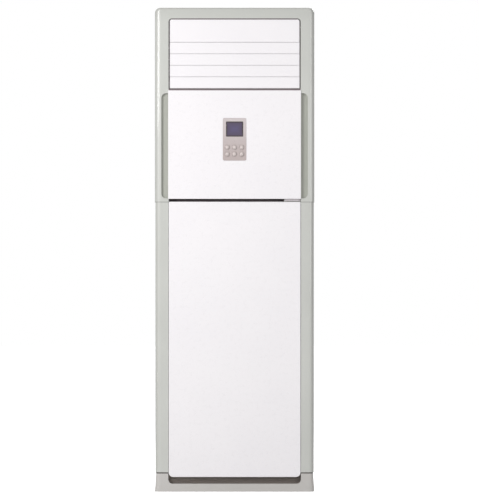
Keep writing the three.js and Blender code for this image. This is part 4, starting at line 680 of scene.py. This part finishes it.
@dataclass(frozen=True)
class ButtonPlastic(MouldedPlastic):
    """Plastic of the button caps, whose crowns read rounder than their height."""

    pitch_x: float = 0.0276
    pitch_z: float = 0.026
    top_row: float = 1.316
    crown_bend: float = 26.0

    def skin(self, bench: ShaderBench, grain: Socket) -> None:
        """Bends each cap's normals away from its own middle."""
        at = bench.apart()
        across = bench.maths("WRAP", at["X"], self.pitch_x / 2, -self.pitch_x / 2)
        upward = bench.maths("SUBTRACT", at["Z"], self.top_row)
        upward = bench.maths("WRAP", upward, self.pitch_z / 2, -self.pitch_z / 2)
        spread = bench.maths("MULTIPLY_ADD", across, across, bench.times(upward, upward))
        crowned = bench.times(spread, -self.crown_bend)
        bench.relief(bench.maths("MULTIPLY_ADD", grain, self.felt * self.depth, crowned), 1.0, 1.0)


@dataclass(frozen=True)
class PowderCoat(WornFinish):
    """Powder-coated sheet with orange peel and dust on its top faces."""

    felt: float = 0.4
    depth: float = 0.00008
    uneven: float = 0.05
    rubbed: str = "dcdcd8"
    rub: float = 0.3
    rub_radius: float = 0.0012
    dust: float = 0.35
    cloud: float = 2.2
    peel: float = 420.0

    def pattern(self, bench: ShaderBench) -> None:
        """Joins drift, rub, dust and orange peel to the shader."""
        self.wear(bench, self.drift(bench, self.cloud))
        self.surface(bench, bench.effect(orange_peel, Scale=self.peel))


@dataclass(frozen=True)
class Galvanised(Finish):
    """Zinc-coated sheet with spangle."""

    felt: float = 0.15
    depth: float = 0.00006
    uneven: float = 0.12
    spangle: float = 95.0
    contrast: float = 0.7
    dust: float = 0.25
    metallic: float = 0.85

    def pattern(self, bench: ShaderBench) -> None:
        """Joins the spangle to colour, roughness and relief."""
        tone = bench.effect(zinc_spangle, Scale=self.spangle)
        share = bench.times(tone, self.contrast)
        colour = bench.blend(share, linear(self.colour), linear(self.shade))
        bench.paint(bench.effect(settled_dust, Colour=colour, Amount=self.dust))
        self.surface(bench, tone)
        bench.give("Metallic", self.metallic)


@dataclass(frozen=True)
class DrawnMetal(Finish):
    """Drawn, pressed or plated metal with fine lines and a little tarnish."""

    felt: float = 0.25
    depth: float = 0.00004
    uneven: float = 0.1
    lay: Lay = Lay.ALONG_Z
    metallic: float = 1.0
    tarnish: float = 0.5
    tarnish_scale: float = 24.0

    def pattern(self, bench: ShaderBench) -> None:
        """Joins tarnish and drawn lines to the shader."""
        bench.paint(self.drift(bench, self.tarnish_scale, self.tarnish))
        self.surface(bench, bench.effect(drawn_lines, Lay=(*self.lay.value, 1.0)))
        bench.give("Metallic", self.metallic)


@dataclass(frozen=True)
class FinStock(Finish):
    """Edges of a pack of thin fins: bright ridges over dark gaps, the gaps painted shade between the fins.
    """

    felt: float = 0.7
    depth: float = 0.0006
    pitch: float = 0.0018
    # Painted shade: the dark colour between the fins.
    gap: str = "26302f"
    metallic: float = 0.9

    def pattern(self, bench: ShaderBench) -> None:
        """Joins the fin lines to colour, metal and relief."""
        edge = bench.steps(bench.effect(ruled_lines, Pitch=self.pitch), 0.35, 0.75)
        # The gaps take the painted shade; the ridges take the metal's colour.
        bench.paint(bench.blend(edge, linear(self.gap), self.drift(bench, 14.0, 0.5)))
        bench.give("Metallic", bench.times(edge, self.metallic))
        self.surface(bench, edge)


@dataclass(frozen=True)
class DisplayGlass(Finish):
    """Tinted display window: dark border, part print and part painted shade of the recess, violet field,
    glossy face.
    """

    centre: Point = (0.0, 0.0, 1.386)
    half_width: float = 0.0327
    half_height: float = 0.0287
    middle: str = "4e446c"
    uneven: float = 0.04

    def pattern(self, bench: ShaderBench) -> None:
        """Joins the border and the field to the shader."""
        at = bench.apart(bench.vectors("SUBTRACT", bench.place(), self.centre))
        across = bench.maths("SUBTRACT", self.half_width, bench.maths("ABSOLUTE", at["X"]))
        upward = bench.maths("SUBTRACT", self.half_height, bench.maths("ABSOLUTE", at["Z"]))
        inside = bench.maths("MINIMUM", across, upward)
        # Dark border and its fade into the field: part print, part painted shade of the recessed window.
        border = bench.steps(inside, 0.0026, 0.0062)
        shade_fade = bench.steps(inside, 0.002, 0.03)
        field_colour = bench.blend(shade_fade, linear(self.colour), linear(self.middle))
        bench.paint(bench.blend(border, linear(self.shade), field_colour))
        bench.sheen_spread(bench.noise(35.0, 3.0), self.uneven)
        bench.coat(0.6, 0.05)


@dataclass(frozen=True)
class CircuitBoard(Finish):
    """Solder-masked board with copper tracks under the mask."""

    felt: float = 0.4

    def pattern(self, bench: ShaderBench) -> None:
        """Joins the tracks to colour and relief."""
        drawn_out = bench.node("Mapping", {"Vector": bench.place(), "Scale": (1.0, 1.0, 0.6)})
        inputs = {"Vector": drawn_out.outputs[0], "Scale": 160.0}
        cells = bench.node("TexVoronoi", inputs, distance="MANHATTAN", feature="F1")
        track = bench.steps(cells.outputs["Distance"], 0.28, 0.34)
        bench.paint(bench.blend(track, linear(self.shade), self.drift(bench, 30.0)))
        self.surface(bench, track)


@dataclass(frozen=True)
class FoamLining(Finish):
    """White insulating foam and moulded duct: closed cells, matt, with painted shade on the duct's mouth.
    """

    felt: float = 0.5
    depth: float = 0.0002
    uneven: float = 0.06
    cells: float = 650.0
    mouth: float = -0.1835
    mouth_fade: float = 0.001
    # Painted shade: the duct's mouth, forward of the mouth depth, turns to this dark colour.
    seal: str = "686263"
    dust: float = 0.3

    def pattern(self, bench: ShaderBench) -> None:
        """Joins the cell relief, the stains and the painted shade on the duct's mouth to the shader."""
        # Mask of the painted shade on the duct's mouth.
        mouth_shaded = bench.steps(bench.apart()["Y"], self.mouth, self.mouth - self.mouth_fade)
        colour = bench.blend(mouth_shaded, self.drift(bench, 7.0), linear(self.seal))
        bench.paint(bench.effect(settled_dust, Colour=colour, Amount=self.dust))
        cells = bench.node("TexVoronoi", {"Vector": bench.place(), "Scale": self.cells})
        self.surface(bench, cells.outputs["Distance"])


@dataclass(frozen=True)
class FineNet(Finish):
    """Woven filter net: threads both ways with clear gaps."""

    pitch: float = 0.0016
    clear: float = 0.34

    def pattern(self, bench: ShaderBench) -> None:
        """Joins the threads to colour and alpha."""
        at = bench.apart()
        threads = []
        for axis in ("X", "Z"):
            count = bench.maths("DIVIDE", at[axis], self.pitch)
            threads.append(bench.maths("GREATER_THAN", bench.maths("PINGPONG", count, 0.5), self.clear))
        bench.paint(self.drift(bench, 12.0))
        bench.give("Alpha", bench.maths("MAXIMUM", *threads))


@dataclass
class Paintbox:
    """Every finish of the unit, built on first use and kept by slot name."""

    finishes: dict[str, Finish] = field(default_factory=dict)
    built: dict[str, Material] = field(default_factory=dict)

    def add(self, *finishes: Finish) -> None:
        """Adds finishes under their own names."""
        self.finishes.update({finish.name: finish for finish in finishes})

    def get(self, name: str) -> Material:
        """Returns the material of a finish, built the first time it is asked for."""
        if name not in self.built:
            self.built[name] = self.finishes[name].build()
            LOG.info("finish %s", name)
        return self.built[name]


def unit_paintbox() -> Paintbox:
    """Fills the paintbox with the unit's finishes.

    Returns:
        The paintbox.
    """
    box = Paintbox()
    seam = {"seam": 0.0718}
    smooth = {"depth": 0.00001}
    # Painted shade: the frame's top bar is darkened from about 1.79 m up, fully above 1.835 m.
    frame = {"rubbed": "dedfda", "depth": 0.00004, "coat": 0.3, "painted_shade_from": 1.835, "painted_shade_to": 1.79}
    # Painted shade: the plate in the plinth's notch is dark, and darker still at its bottom.
    notch_shade_look = {"rub": 0.0, "dust": 0.0, "painted_shade_from": 0.034, "painted_shade_to": 0.05}
    # Painted shade: the bezel darkens towards its bottom edge.
    bezel = {"rubbed": "ddd3d0", "coat": 0.1, "painted_shade_from": 1.27, "painted_shade_to": 1.43}
    rubber = {"rubbed": "3c3e40", "grain": 500.0, "depth": 0.0001}
    # Look of the dark strips that paint the shade in the gaps.
    foam = {"rub": 0.0, "grain": 400.0, "depth": 0.0002, "dust": 0.1}
    box.add(
        FramePlastic("frame_grey", "c9cac5", "bfc0bb", 0.36, **frame, **seam),
        MouldedPlastic("plinth_grey", "c8c5c2", "bcb9b5", 0.44, rubbed="d6d2cf", dust=0.3, **seam),
        # Painted shade inside the plinth's notch.
        MouldedPlastic("notch_painted_shade", "a0978f", "736b66", 0.6, **notch_shade_look),
        MouldedPlastic("panel_white", "f6f3f5", "f2eff2", 0.26, rub=0.1, grain=300.0, coat=0.25, **smooth),
        MouldedPlastic("louvre_white", "f5f2f4", "f1eef1", 0.34, rub=0.1, depth=0.00003),
        MouldedPlastic("receiver_grey", "d8d1d4", "ccc5c9", 0.14, rub=0.1, coat=0.8, **smooth),
        MouldedPlastic("bezel_grey", "d2cacb", "b9acaa", 0.36, **bezel),
        ButtonPlastic("button_grey", "d2c7c4", "cabfbc", 0.5, rub=0.0, depth=0.00002, dust=0.0),
        # Its shade colour is the border: part print, part painted shade of the recess.
        DisplayGlass("window_dark", "473a55", "35272f", 0.12),
        CircuitBoard("board_green", "2f5a3c", "3f7a4f", 0.45),
        Galvanised("zinc_steel", "b4b8bb", "9a9fa2", 0.42),
        PowderCoat("painted_steel", "c4c5c1", "bbbcb7", 0.46),
        FoamLining("duct_white", "e4e4e2", "d8d7d2", 0.72),
        MouldedPlastic("mechanism_grey", "8d9092", "83868a", 0.5, rubbed="a8abad"),
        DrawnMetal("stepper_steel", "b9bcbe", "a6a9ab", 0.32),
        FinStock("fin_aluminium", "b7c4c9", "a8b6ba", 0.38),
        DrawnMetal("copper", "c0784a", "8f5a3c", 0.3, tarnish=0.7),
        MouldedPlastic("fan_plastic", "5b6063", "52575a", 0.52, rubbed="777c7f", dust=0.5),
        PowderCoat("motor_black", "2d2f31", "26282a", 0.4, dust=0.4),
        MouldedPlastic("filter_blue", "6d8ea3", "64849a", 0.6, rubbed="8aa8bb", dust=0.4),
        MouldedPlastic("rubber_black", "26282a", "303234", 0.78, **rubber),
        MouldedPlastic("hose_grey", "d8d8d2", "cbcbc4", 0.6, rubbed="e6e6e0"),
        DrawnMetal("screw_zinc", "c3c6c8", "a9acae", 0.28, lay=Lay.ALONG_X),
        MouldedPlastic("lamp_lens", "beb3b1", "b2a7a5", 0.2, rub=0.0, coat=1.0, **smooth),
        # Painted shade: the dark strips behind the gaps.
        MouldedPlastic("seal_dark", "786c70", "6c6266", 0.85, **foam),
        FineNet("filter_net", "3f4d55", "4d5c64", 0.7),
    )
    return box


# ---------------------------------------------------------------- the unit


@dataclass
class Fasteners:
    """Pan-head screws with a cross recess, modelled once and copied."""

    radius: float = 3.6 * MM
    rise: float = 1.5 * MM
    recess: float = 1.1 * MM
    slot_reach: float = 0.55
    slot_width: float = 0.9 * MM
    sunk: float = 0.2 * MM
    over: float = 0.24 * MM
    sides: int = 24
    smooth_below: float = 30.0
    crown: Steps = ((0.5 * MM, 0.22 * MM), (0.8 * MM, 0.16 * MM), (0.9 * MM, 0.06 * MM))

    def head(self, name: str, seat: Point, facing: Vector) -> Object:
        """Makes one screw head on a face.

        Args:
            name: The screw's name.
            seat: Point of the face under the head's middle.
            facing: Outward direction of the face.

        Returns:
            The screw head, its back just in the face.
        """
        at = Vector(seat) + facing * (self.rise / 2 - self.sunk)
        screw = disc(name, tuple(at), self.radius, self.rise, self.sides, facing)
        crown(screw, facing, self.crown)
        top = Vector(seat) + facing * (self.rise + self.over)
        side = facing.orthogonal().normalized()
        for across in (side, facing.cross(side)):
            reach = across * self.radius * self.slot_reach
            thick = facing.cross(across).normalized() * self.slot_width / 2
            corners = [
                top + a * reach + b * thick - facing * painted_height_shade
                for a, b, painted_height_shade in product((-1, 1), (-1, 1), (0, self.recess))
            ]
            cutter = block("recess", tuple(map(min, *corners)), tuple(map(max, *corners)))
            finish_modifier(screw, "BOOLEAN", operation="DIFFERENCE", object=cutter, solver="EXACT")
            bpy.data.objects.remove(cutter)
        return settle(screw, name, self.smooth_below)

    def row(self, name: str, places: Sequence[Point], facing: Vector) -> list[Object]:
        """Models a screw at the first place and copies it to the others.

        Args:
            name: Name of the row.
            places: The screws' seats.
            facing: Outward direction of the face.

        Returns:
            All the screws of the row.
        """
        first = self.head(f"{name}_1", places[0], facing)
        shifts = [Vector(place) - Vector(places[0]) for place in places[1:]]
        return [first, *(twin(first, f"{name}_{i}", tuple(shift)) for i, shift in enumerate(shifts, 2))]


@dataclass
class SubAssembly:
    """Common ground of the unit's sub-assemblies: the frame's nodes and the paintbox."""

    nodes: Mapping[str, Object]
    paints: Paintbox

    def carry(self, piece: Object, slot: str, finish: str = "", body: str = Body.CABINET) -> None:
        """Dresses a new piece and lets it ride on its body.

        Args:
            piece: The finished piece.
            slot: Material slot of the record that it belongs to.
            finish: Finish that it wears, where that isn't the slot's own.
            body: Body that it moves with.
        """
        dress(piece, self.paints.get(finish or slot))
        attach(piece, body)
        LOG.info("piece %s rides on %s", piece.name, body)

    def screw_down(self, name: str, places: Sequence[Point], facing: Vector) -> None:
        """Sets a row of screws in the cabinet."""
        for screw in Fasteners().row(name, places, facing):
            self.carry(screw, "zinc_steel", "screw_zinc")

    def paint_nodes(self, slot: str, *names: str) -> None:
        """Gives nodes of the frame the material of their slot."""
        for name in names:
            dress(self.nodes[name], self.paints.get(slot))
            LOG.info("node %s wears %s", name, slot)

    def soften(
        self,
        name: str,
        slot: str,
        width: float = 0.0,
        segments: int = 3,
        body: str = Body.CABINET,
        shape: Callable[[Object], None] | None = None,
    ) -> None:
        """Makes a smooth-edged twin of a node and lets it stand for the node.

        Args:
            name: The node.
            slot: Its material slot.
            width: Width of the edge rounding; 0 only smooths the shading.
            segments: Steps of the rounding.
            body: Body that it moves with.
            shape: Work on the twin's form before its edges are rounded.
        """
        node = self.nodes[name]
        piece = bpy.data.objects.new(f"{name}_shell", node.data.copy())
        bpy.context.scene.collection.objects.link(piece)
        with editing(piece):
            bpy.ops.mesh.remove_doubles(threshold=WELD)
            bpy.ops.mesh.dissolve_limited(angle_limit=FLAT_BELOW)
        if shape:
            shape(piece)
        if width:
            finish_modifier(
                piece,
                "BEVEL",
                width=width,
                segments=segments,
                limit_method="ANGLE",
                angle_limit=ROUNDED_ABOVE,
                use_clamp_overlap=True,
                miter_outer="MITER_ARC",
            )
        settle(piece, f"{name}_shell", SMOOTH_BELOW)
        finish_modifier(piece, "WEIGHTED_NORMAL", mode="FACE_AREA", weight=100, keep_sharp=True)
        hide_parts(name)
        self.carry(piece, slot, body=body)


@dataclass
class Cabinet(SubAssembly):
    """Frames, plinth and sheet panels of the cabinet."""

    frame_round: float = 0.8 * MM
    rear: float = 195 * MM
    side: float = 303 * MM
    rear_screw_x: float = 291 * MM
    rear_screw_heights: tuple[float, ...] = (0.11, 0.45, 0.80, 1.15, 1.46, 1.79)
    side_screw_heights: tuple[float, ...] = (0.10, 0.68, 1.25, 1.78)
    side_screw_y: float = 176 * MM
    kick_low: Point = (-0.2562, -0.1553, 0.0277)
    kick_high: Point = (0.2562, -0.1535, 0.0722)
    kick_fold: float = 9 * MM
    front: float = -188 * MM
    shoulder_from: float = 281.5 * MM
    shoulder_to: float = 305 * MM
    shoulder_radius: float = 34 * MM
    shoulder_cuts: int = 8
    shoulder_depth: float = 48 * MM

    def build(self) -> None:
        """Makes the cabinet's pieces and dresses its nodes."""
        for name in ("upper_frame", "lower_frame", "plinth"):
            slot = "plinth_grey" if name == "plinth" else "frame_grey"
            self.soften(name, slot, self.frame_round, shape=self.shoulders)
        self.paint_nodes("painted_steel", "side_panel_right", "side_panel_left", "rear_panel", "top_cover")
        self.paint_nodes("zinc_steel", "base_pan", "partition_shelf", "chamber_front")
        self.soften("pipe_grommet", "rubber_black", 0.6 * MM, 2)
        self.soften("cable_gland", "rubber_black", 0.5 * MM, 2)
        self.screws()
        self.notch_shade_plate()

    def screws(self) -> None:
        """Screws the rear panel's edges down, and each side panel to the rear flange."""
        rear = [(s.value * self.rear_screw_x, self.rear, z) for s in Side for z in self.rear_screw_heights]
        self.screw_down("rear_screw", rear, -FORWARD)
        for side in Side:
            places = [(side.value * self.side, self.side_screw_y, z) for z in self.side_screw_heights]
            self.screw_down(f"side_screw_{side.name.lower()}", places, Vector((side.value, 0, 0)))

    def shoulders(self, piece: Object) -> None:
        """Lets a front moulding fall away in a curve towards both sides.

        Args:
            piece: The moulding's twin.
        """
        pitch = (self.shoulder_to - self.shoulder_from) / self.shoulder_cuts
        with editing(piece):
            for side in Side:
                for cut in range(self.shoulder_cuts):
                    across = side.value * (self.shoulder_from + cut * pitch)
                    bpy.ops.mesh.select_all(action="SELECT")
                    bpy.ops.mesh.bisect(plane_co=(across, 0, 0), plane_no=(1, 0, 0))
        for vertex in piece.data.vertices:
            over = max(abs(vertex.co.x) - self.shoulder_from, 0.0)
            behind = (vertex.co.y - self.front) / self.shoulder_depth
            vertex.co.y += over**2 / (2 * self.shoulder_radius) * max(1.0 - behind, 0.0)

    def notch_shade_plate(self) -> None:
        """Closes the plinth's notch at the rear with a folded plate, dark as painted shade inside the
        notch.
        """
        plate = block("notch_shade_plate", self.kick_low, self.kick_high)
        crease = self.kick_high[2] - (self.kick_high[1] - self.kick_low[1])
        with editing(plate):
            bpy.ops.mesh.bisect(plane_co=(0, 0, crease), plane_no=(0, 0, 1))
            choose_faces(plate, lambda face: face.normal.y > FACING and face.center.z > crease)
            bpy.ops.mesh.extrude_region_move(TRANSFORM_OT_translate={"value": (0, self.kick_fold, 0)})
        # Its dark finish is painted shade inside the notch.
        self.carry(settle(plate, "notch_shade_plate"), "plinth_grey", "notch_painted_shade")


@dataclass
class Outlet(SubAssembly):
    """Fascia, louvres, vanes and their drives at the top."""

    louvres: int = 4
    vanes: int = 7
    edge: float = 0.6 * MM

    def build(self) -> None:
        """Makes the outlet's pieces and dresses its nodes."""
        self.soften("outlet_fascia", "louvre_white", self.edge)
        for i in range(1, self.louvres + 1):
            self.soften(f"louvre_{i}", "louvre_white", self.edge, body=f"louvre_{i}")
        self.paint_nodes("louvre_white", *(f"vane_{i}" for i in range(1, self.vanes + 1)))
        self.paint_nodes("duct_white", "outlet_duct")
        self.paint_nodes("mechanism_grey", "louvre_crank", "louvre_link", "vane_link")
        self.soften("louvre_motor", "stepper_steel")
        self.soften("vane_motor", "stepper_steel")


@dataclass
class MiddlePanel(SubAssembly):
    """White middle panel, the receiver window below it and dark strips in the gaps about it, as painted
    shade in those gaps.
    """

    edge: float = 0.7 * MM
    strip_round: float = 0.3 * MM
    strips: tuple[tuple[str, Point, Point], ...] = (
        # Dark strips behind the gaps: painted shade in the slot, under the outlet and over the fascia.
        ("slot_shade_strip", (-0.2512, -0.1509, 1.1048), (0.2512, -0.1499, 1.1196)),
        ("outlet_shade_strip", (-0.2522, -0.1884, 1.5343), (0.2522, -0.1879, 1.5408)),
        ("fascia_shade_strip", (-0.2395, -0.1848, 1.8048), (0.2395, -0.1838, 1.8089)),
    )

    def build(self) -> None:
        """Makes the panel and the window with soft edges, and the strips."""
        self.soften("middle_panel", "panel_white", self.edge)
        self.soften("receiver_window", "receiver_grey", 0.5 * MM)
        for name, low, high in self.strips:
            self.strip(name, low, high)

    def strip(self, name: str, low: Point, high: Point) -> None:
        """Sets a soft dark strip behind a gap, as painted shade in the gap.

        Args:
            name: The strip's name.
            low: Lowest corner.
            high: Highest corner.
        """
        strip = block(name, low, high)
        finish_modifier(strip, "BEVEL", width=self.strip_round, segments=2, limit_method="ANGLE")
        self.carry(settle(strip, name), "rubber_black", "seal_dark")


@dataclass
class ControlPanel(SubAssembly):
    """Bezel, display window, lamp and six domed buttons."""

    columns: int = 3
    rows: int = 2
    pitch_x: float = 27.6 * MM
    pitch_z: float = 26 * MM
    top_row: float = 1316 * MM
    cap_radius: float = 9.5 * MM
    cap_rear: float = -189.6 * MM
    cap_rim: float = -191.9 * MM
    cap_sides: int = 48
    cap_crown: Steps = (
        (0.8 * MM, 0.52 * MM),
        (1.0 * MM, 0.57 * MM),
        (1.2 * MM, 0.57 * MM),
        (1.3 * MM, 0.49 * MM),
        (1.3 * MM, 0.37 * MM),
        (1.3 * MM, 0.26 * MM),
        (1.3 * MM, 0.15 * MM),
    )
    flange: float = 1.12
    flange_depth: float = 1.2 * MM
    lamp_place: Point = (0.0, -0.19165, 1.3395)
    lamp_radius: float = 1.85 * MM
    lamp_depth: float = 2.2 * MM
    lamp_sides: int = 24
    lamp_crown: Steps = ((0.3 * MM, 0.25 * MM), (0.5 * MM, 0.2 * MM), (0.6 * MM, 0.1 * MM))
    smooth_below: float = 50.0

    def build(self) -> None:
        """Makes the control panel's pieces and dresses its nodes."""
        self.soften("control_bezel", "bezel_grey", 0.35 * MM, 2)
        self.soften("lcd_window", "window_dark", 0.3 * MM, 2)
        self.paint_nodes("board_green", "control_board")
        self.buttons()
        self.lamp()

    def buttons(self) -> None:
        """Models one domed cap and copies it to the other five places."""
        first_x = -self.pitch_x * (self.columns - 1) / 2
        middle = (first_x, (self.cap_rear + self.cap_rim) / 2, self.top_row)
        depth = self.cap_rear - self.cap_rim
        cap = disc("button_1_cap", middle, self.cap_radius, depth, self.cap_sides, FORWARD)
        crown(cap, FORWARD, self.cap_crown)
        with editing(cap):
            choose_faces(cap, lambda face: face.normal.y > FACING)
            bpy.ops.mesh.extrude_region_move(TRANSFORM_OT_translate={"value": (0, 0, 0)})
            bpy.ops.transform.resize(value=(self.flange, 1, self.flange))
            bpy.ops.mesh.extrude_region_move(TRANSFORM_OT_translate={"value": (0, self.flange_depth, 0)})
        settle(cap, "button_1_cap", self.smooth_below)
        caps = [cap]
        for i in range(1, self.columns * self.rows):
            shift = ((i % self.columns) * self.pitch_x, 0, -(i // self.columns) * self.pitch_z)
            caps.append(twin(cap, f"button_{i + 1}_cap", shift))
        for i, each in enumerate(caps, 1):
            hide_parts(f"button_{i}")
            self.carry(each, "button_grey", body=f"button_{i}")

    def lamp(self) -> None:
        """Sets a small domed lens in the bezel's lamp hole."""
        size = (self.lamp_radius, self.lamp_depth, self.lamp_sides)
        lens = disc("lamp_lens", self.lamp_place, *size, FORWARD)
        crown(lens, FORWARD, self.lamp_crown)
        self.carry(settle(lens, "lamp_lens", self.smooth_below), "receiver_grey", "lamp_lens")


@dataclass
class LowerPanel(SubAssembly):
    """White lower panel that hangs on two hooks, with a thin trim along its top."""

    edge: float = 0.7 * MM
    trim_low: Point = (-0.2512, -0.1908, 1.1032)
    trim_high: Point = (0.2512, -0.1884, 1.1081)
    trim_round: float = 0.6 * MM

    def build(self) -> None:
        """Makes the panel with its soft edges and its trim."""
        self.soften("lower_panel", "panel_white", self.edge, body=Body.LOWER_PANEL)
        trim = block("top_trim", self.trim_low, self.trim_high)
        finish_modifier(trim, "BEVEL", width=self.trim_round, segments=3, limit_method="ANGLE")
        self.carry(settle(trim, "top_trim"), "panel_white", body=Body.LOWER_PANEL)


@dataclass
class AirPath(SubAssembly):
    """Filter, fan, coil, drain and electrical box inside the cabinet."""

    net_low: Point = (-0.229, -0.1033, 0.096)
    net_high: Point = (0.229, -0.1029, 0.554)
    net_cuts: int = 3
    box_screw_x: float = 0.168
    box_screw_y: float = -0.1206
    box_screw_heights: tuple[float, ...] = (0.73, 1.03)

    def build(self) -> None:
        """Makes the inner pieces and dresses the inner nodes."""
        self.paint_nodes("filter_blue", "filter")
        self.paint_nodes("duct_white", "filter_guide", "drain_pan")
        self.paint_nodes("zinc_steel", "scroll_housing", "motor_bracket")
        self.paint_nodes("zinc_steel", "electrical_box", "electrical_box_cover")
        self.soften("inlet_ring", "zinc_steel")
        self.soften("fan_wheel", "fan_plastic", body="fan_wheel")
        self.soften("fan_motor", "motor_black", 0.8 * MM, 2)
        self.paint_nodes("fin_aluminium", "evaporator")
        for name in ("evaporator_end_left", "evaporator_end_right", "gas_pipe", "liquid_pipe"):
            self.soften(name, "copper")
        self.soften("drain_hose", "hose_grey")
        self.net()
        self.cover_screws()

    def net(self) -> None:
        """Stretches the fine net across the filter's frame."""
        net = block("filter_net", self.net_low, self.net_high)
        with editing(net):
            bpy.ops.mesh.subdivide(number_cuts=self.net_cuts)
        self.carry(settle(net, "filter_net"), "filter_blue", "filter_net", Body.FILTER)

    def cover_screws(self) -> None:
        """Screws the electrical box's cover on at its corners."""
        across = self.box_screw_x
        places = [(x, self.box_screw_y, z) for z in self.box_screw_heights for x in (-across, across)]
        self.screw_down("box_screw", places, FORWARD)


# ---------------------------------------------------------------- the studio


@dataclass(frozen=True)
class Lamp:
    """A soft box of the studio."""

    name: str
    place: Point
    target: Point
    width: float
    height: float
    power: float

    def hang(self) -> None:
        """Adds the soft box, aimed at its target."""
        data = bpy.data.lights.new(self.name, "AREA")
        data.shape = "RECTANGLE"
        data.size = self.width
        data.size_y = self.height
        data.energy = self.power
        lamp = bpy.data.objects.new(self.name, data)
        lamp.location = self.place
        aim = Vector(self.target) - Vector(self.place)
        lamp.rotation_euler = aim.to_track_quat("-Z", "Y").to_euler()
        bpy.context.scene.collection.objects.link(lamp)


@dataclass
class Studio:
    """Plain pale floor, even light and a straight-on camera with a long lens."""

    distance: float = 20.0
    picture_height: float = 1.911
    aim_x: float = 0.0187
    aim_z: float = 0.9238
    front: float = -0.19
    sensor: float = 36.0
    reach: float = 200.0
    world_strength: float = 0.46
    floor_size: float = 60.0
    floor_drop: float = 0.5 * MM
    floor_shade: str = "8c8c8c"
    floor_roughness: float = 0.9
    floor_glow: float = 0.62
    lamps: tuple[Lamp, ...] = (
        Lamp("key", (-2.2, -3.4, 2.1), (0.0, -0.2, 1.4), 1.4, 1.2, 80.0),
        Lamp("fill", (2.6, -3.6, 1.5), (0.0, -0.2, 1.2), 1.8, 1.6, 35.5),
        Lamp("glint_high", (-2.1, -2.2, 1.6), (-0.3, -0.19, 1.5), 0.35, 0.3, 9.8),
        Lamp("glint_low", (-2.1, -2.2, 0.4), (-0.3, -0.19, 0.46), 0.35, 0.2, 6.8),
        Lamp("rear", (1.8, 4.2, 3.4), (0.0, 0.2, 1.0), 2.0, 2.0, 110.0),
    )

    def build(self) -> None:
        """Sets up the floor, the world, the lamps and the camera."""
        self.world()
        self.floor()
        for lamp in self.lamps:
            lamp.hang()
        self.camera()
        bpy.context.scene.view_settings.view_transform = "Standard"

    def world(self) -> None:
        """Lights the object evenly and shows white to the camera and in reflections."""
        world = bpy.data.worlds.new("studio")
        bpy.context.scene.world = world
        world.use_nodes = True
        tree = world.node_tree
        tree.nodes.clear()
        bench = NodeBench(tree)
        strength = bench.between(bench.shown(), self.world_strength, 1.0)
        back = bench.node("Background", {"Color": WHITE, "Strength": strength})
        bench.node("OutputWorld", {"Surface": back.outputs[0]})

    def floor(self) -> None:
        """Lays a wide pale floor that shows white but throws little light back up."""
        bpy.ops.object.select_all(action="DESELECT")
        bpy.ops.mesh.primitive_plane_add(size=self.floor_size, location=(0, 0, -self.floor_drop))
        floor = bpy.context.active_object
        floor.name = "floor"
        material = bpy.data.materials.new("floor_pale")
        bench = ShaderBench(material, self.floor_roughness)
        shown = bench.shown()
        bench.paint(bench.blend(shown, linear(self.floor_shade), WHITE))
        bench.give("Emission Color", WHITE)
        bench.give("Emission Strength", bench.times(shown, self.floor_glow))
        bench.give("Specular IOR Level", 0.0)
        dress(floor, material)

    def camera(self) -> None:
        """Puts the camera straight in front, a long way off."""
        data = bpy.data.cameras.new("camera")
        data.type = "PERSP"
        data.sensor_width = self.sensor
        data.lens = data.sensor_width * self.distance / self.picture_height
        data.clip_end = self.reach
        camera = bpy.data.objects.new("camera", data)
        camera.location = (self.aim_x, self.front - self.distance, self.aim_z)
        camera.rotation_euler = (math.pi / 2, 0, 0)
        bpy.context.scene.collection.objects.link(camera)
        bpy.context.scene.camera = camera


def main() -> None:
    """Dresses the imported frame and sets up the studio."""
    logging.basicConfig(level=logging.INFO, format="%(name)s: %(message)s")
    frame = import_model()
    nodes = frame["nodes"]
    paints = unit_paintbox()
    for part in (Cabinet, Outlet, MiddlePanel, ControlPanel, LowerPanel, AirPath):
        part(nodes, paints).build()
        LOG.info("built %s", part.__name__)
    Studio().build()


if __name__ == "__main__":
    main()
